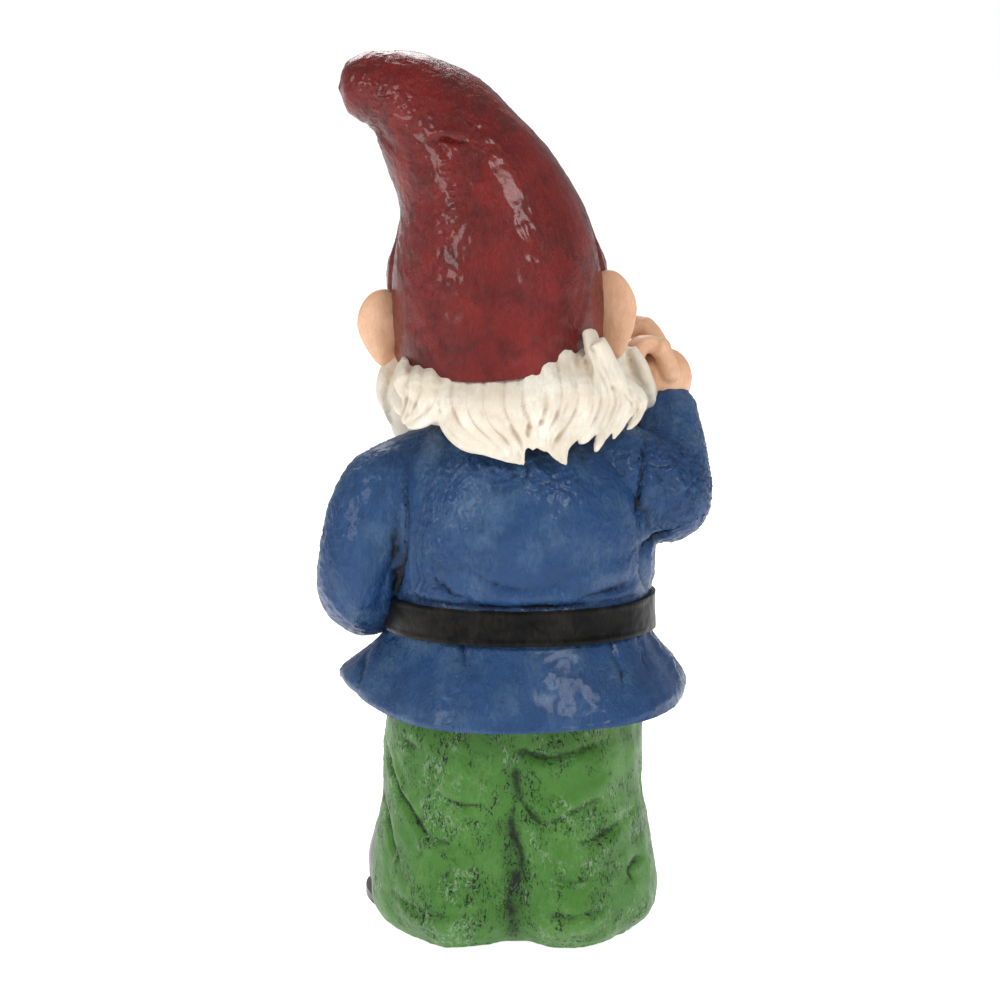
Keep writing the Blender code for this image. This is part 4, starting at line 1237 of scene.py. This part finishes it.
right_hand = make_hand(
    "hand_skin_right", ARMS["right"][-1][:3], (0.05, -0.10, 1), (1, 0.15, 0), (0, -1, 0),
    ((-0.0600, -0.0440, 0.2725), (-0.0430, -0.0430, 0.2680)), 1.32,
)
finish(right_hand, SKIN, "skin_paint", "hand_right")
left_hand = make_hand(
    "hand_skin_left", ARMS["left"][-1][:3], (-0.80, -0.50, 0.12), (-0.35, 0.90, 0), (0, 0, 1)
)
finish(left_hand, SKIN, "skin_paint", "hand_left")

# %% [markdown]
# ## Belt, buckle and boots
#
# The belt is a ring with rounded edges, pressed a little unevenly. The buckle's castings are the right
# shape already, so they only get their paint. Boots are rolled round a heel, toes out, with a welt.

# %% Belt
BELT_THICK = 0.0032
belt_rows = [(-0.0030, 0, z, 0.0621, 0.0660, 0.0591) for z in (0.1400, 0.1453, 0.1507, 0.1560)]
belt = place("belt_leather", rolled(belt_rows, 300, 22))
stroke(belt, [(-60, 154.6), (-30, 154.6), (0, 154.4), (30, 154.6), (60, 154.6)], 0.9, 0.35, fade=0.1)
stroke(belt, [(-60, 141.4), (-30, 141.4), (0, 141.6), (30, 141.4), (60, 141.4)], 0.9, 0.35, fade=0.1)
lumps(belt, 14, 0.7, 81)
lumps(belt, 4, 0.2, 82)
thicken(belt, BELT_THICK, bevel(0.0009, 3, 1.0))
finish(belt, BLACK, "belt_paint", "belt_strap")
for name in ("buckle_frame", "buckle_prong"):
    frame["nodes"][name].data.materials[0] = GOLD

# %% Boots and soles
BOOT_ROWS = (
    (0, -0.030, 0.0048, 0.0215, 0.0455, 0.0270), (0, -0.030, 0.0100, 0.0235, 0.0480, 0.0285),
    (0, -0.029, 0.0230, 0.0235, 0.0465, 0.0270), (0, -0.027, 0.0360, 0.0215, 0.0405, 0.0230),
    (0, -0.024, 0.0470, 0.0180, 0.0300, 0.0190), (0, -0.021, 0.0540, 0.0080, 0.0130, 0.0100),
)
TOE_OUT = {"left": 20, "right": -15}  # degrees
HEEL_X, HEEL_Y = 0.031, -0.008
WELT_ROWS = [(0, -0.030, z, 0.0250, 0.0495, 0.0300) for z in (0.0, 0.0022, 0.0045)]
for side, sign in (("left", 1), ("right", -1)):
    toes = Matrix.Rotation(math.radians(TOE_OUT[side]), 4, "Z")
    heel = Matrix.Translation((sign * HEEL_X, HEEL_Y, 0)) @ toes
    bm = rolled(BOOT_ROWS, 140, 60, closed=True)
    bmesh.ops.transform(bm, matrix=heel, verts=bm.verts)
    boot = place("boot_leather_" + side, bm)
    across = sign * 44
    stroke(boot, [(across - 20, 26), (across, 24), (across + 20, 26)], 1.3, -1.4, -1)
    stroke(boot, [(across - 17, 31), (across, 30), (across + 17, 31)], 1.6, 0.9, -1)
    stroke(boot, [(across - 16, 36), (across, 35), (across + 16, 36)], 1.2, -1.2, -1)
    lumps(boot, 12, 0.8, 91)
    finish(boot, BOOT, "boot_paint", "boot_" + side)
    bm = rolled(WELT_ROWS, 140, 6, closed=True)
    bmesh.ops.transform(bm, matrix=heel, verts=bm.verts)
    sole = place("sole_rubber_" + side, bm)
    settle(sole, bevel(0.0009, 3, 1.0))
    finish(sole, BOOT, "boot_paint", "sole_" + side)

# %% [markdown]
# ## Floor
#
# The floor is a wide white sheet. A little light of its own keeps it as pale as the background, so only
# the soft shadow near the feet is seen.

# %% Floor
bm = bmesh.new()
bmesh.ops.create_grid(bm, x_segments=1, y_segments=1, size=30.0)
floor = place("floor", bm)
sheet = Paint("floor_white", 0.9)
sheet.shader.inputs["Base Color"].default_value = (0.80, 0.80, 0.80, 1)
sheet.shader.inputs["Emission Color"].default_value = (1, 1, 1, 1)
sheet.shader.inputs["Emission Strength"].default_value = 0.85
floor.data.materials.append(sheet.material)
floor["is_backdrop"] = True

# %% [markdown]
# ## Sizes
#
# Sculpting must not make the figure bigger than its castings. The box round them and the box round the
# finished pieces are both written down, so that they can be compared.

# %% Sizes
sizes = {"cad": CAD_BOX, "visual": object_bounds()}
sizes = {name: [list(corner) for corner in box] for name, box in sizes.items()}
print(sizes)
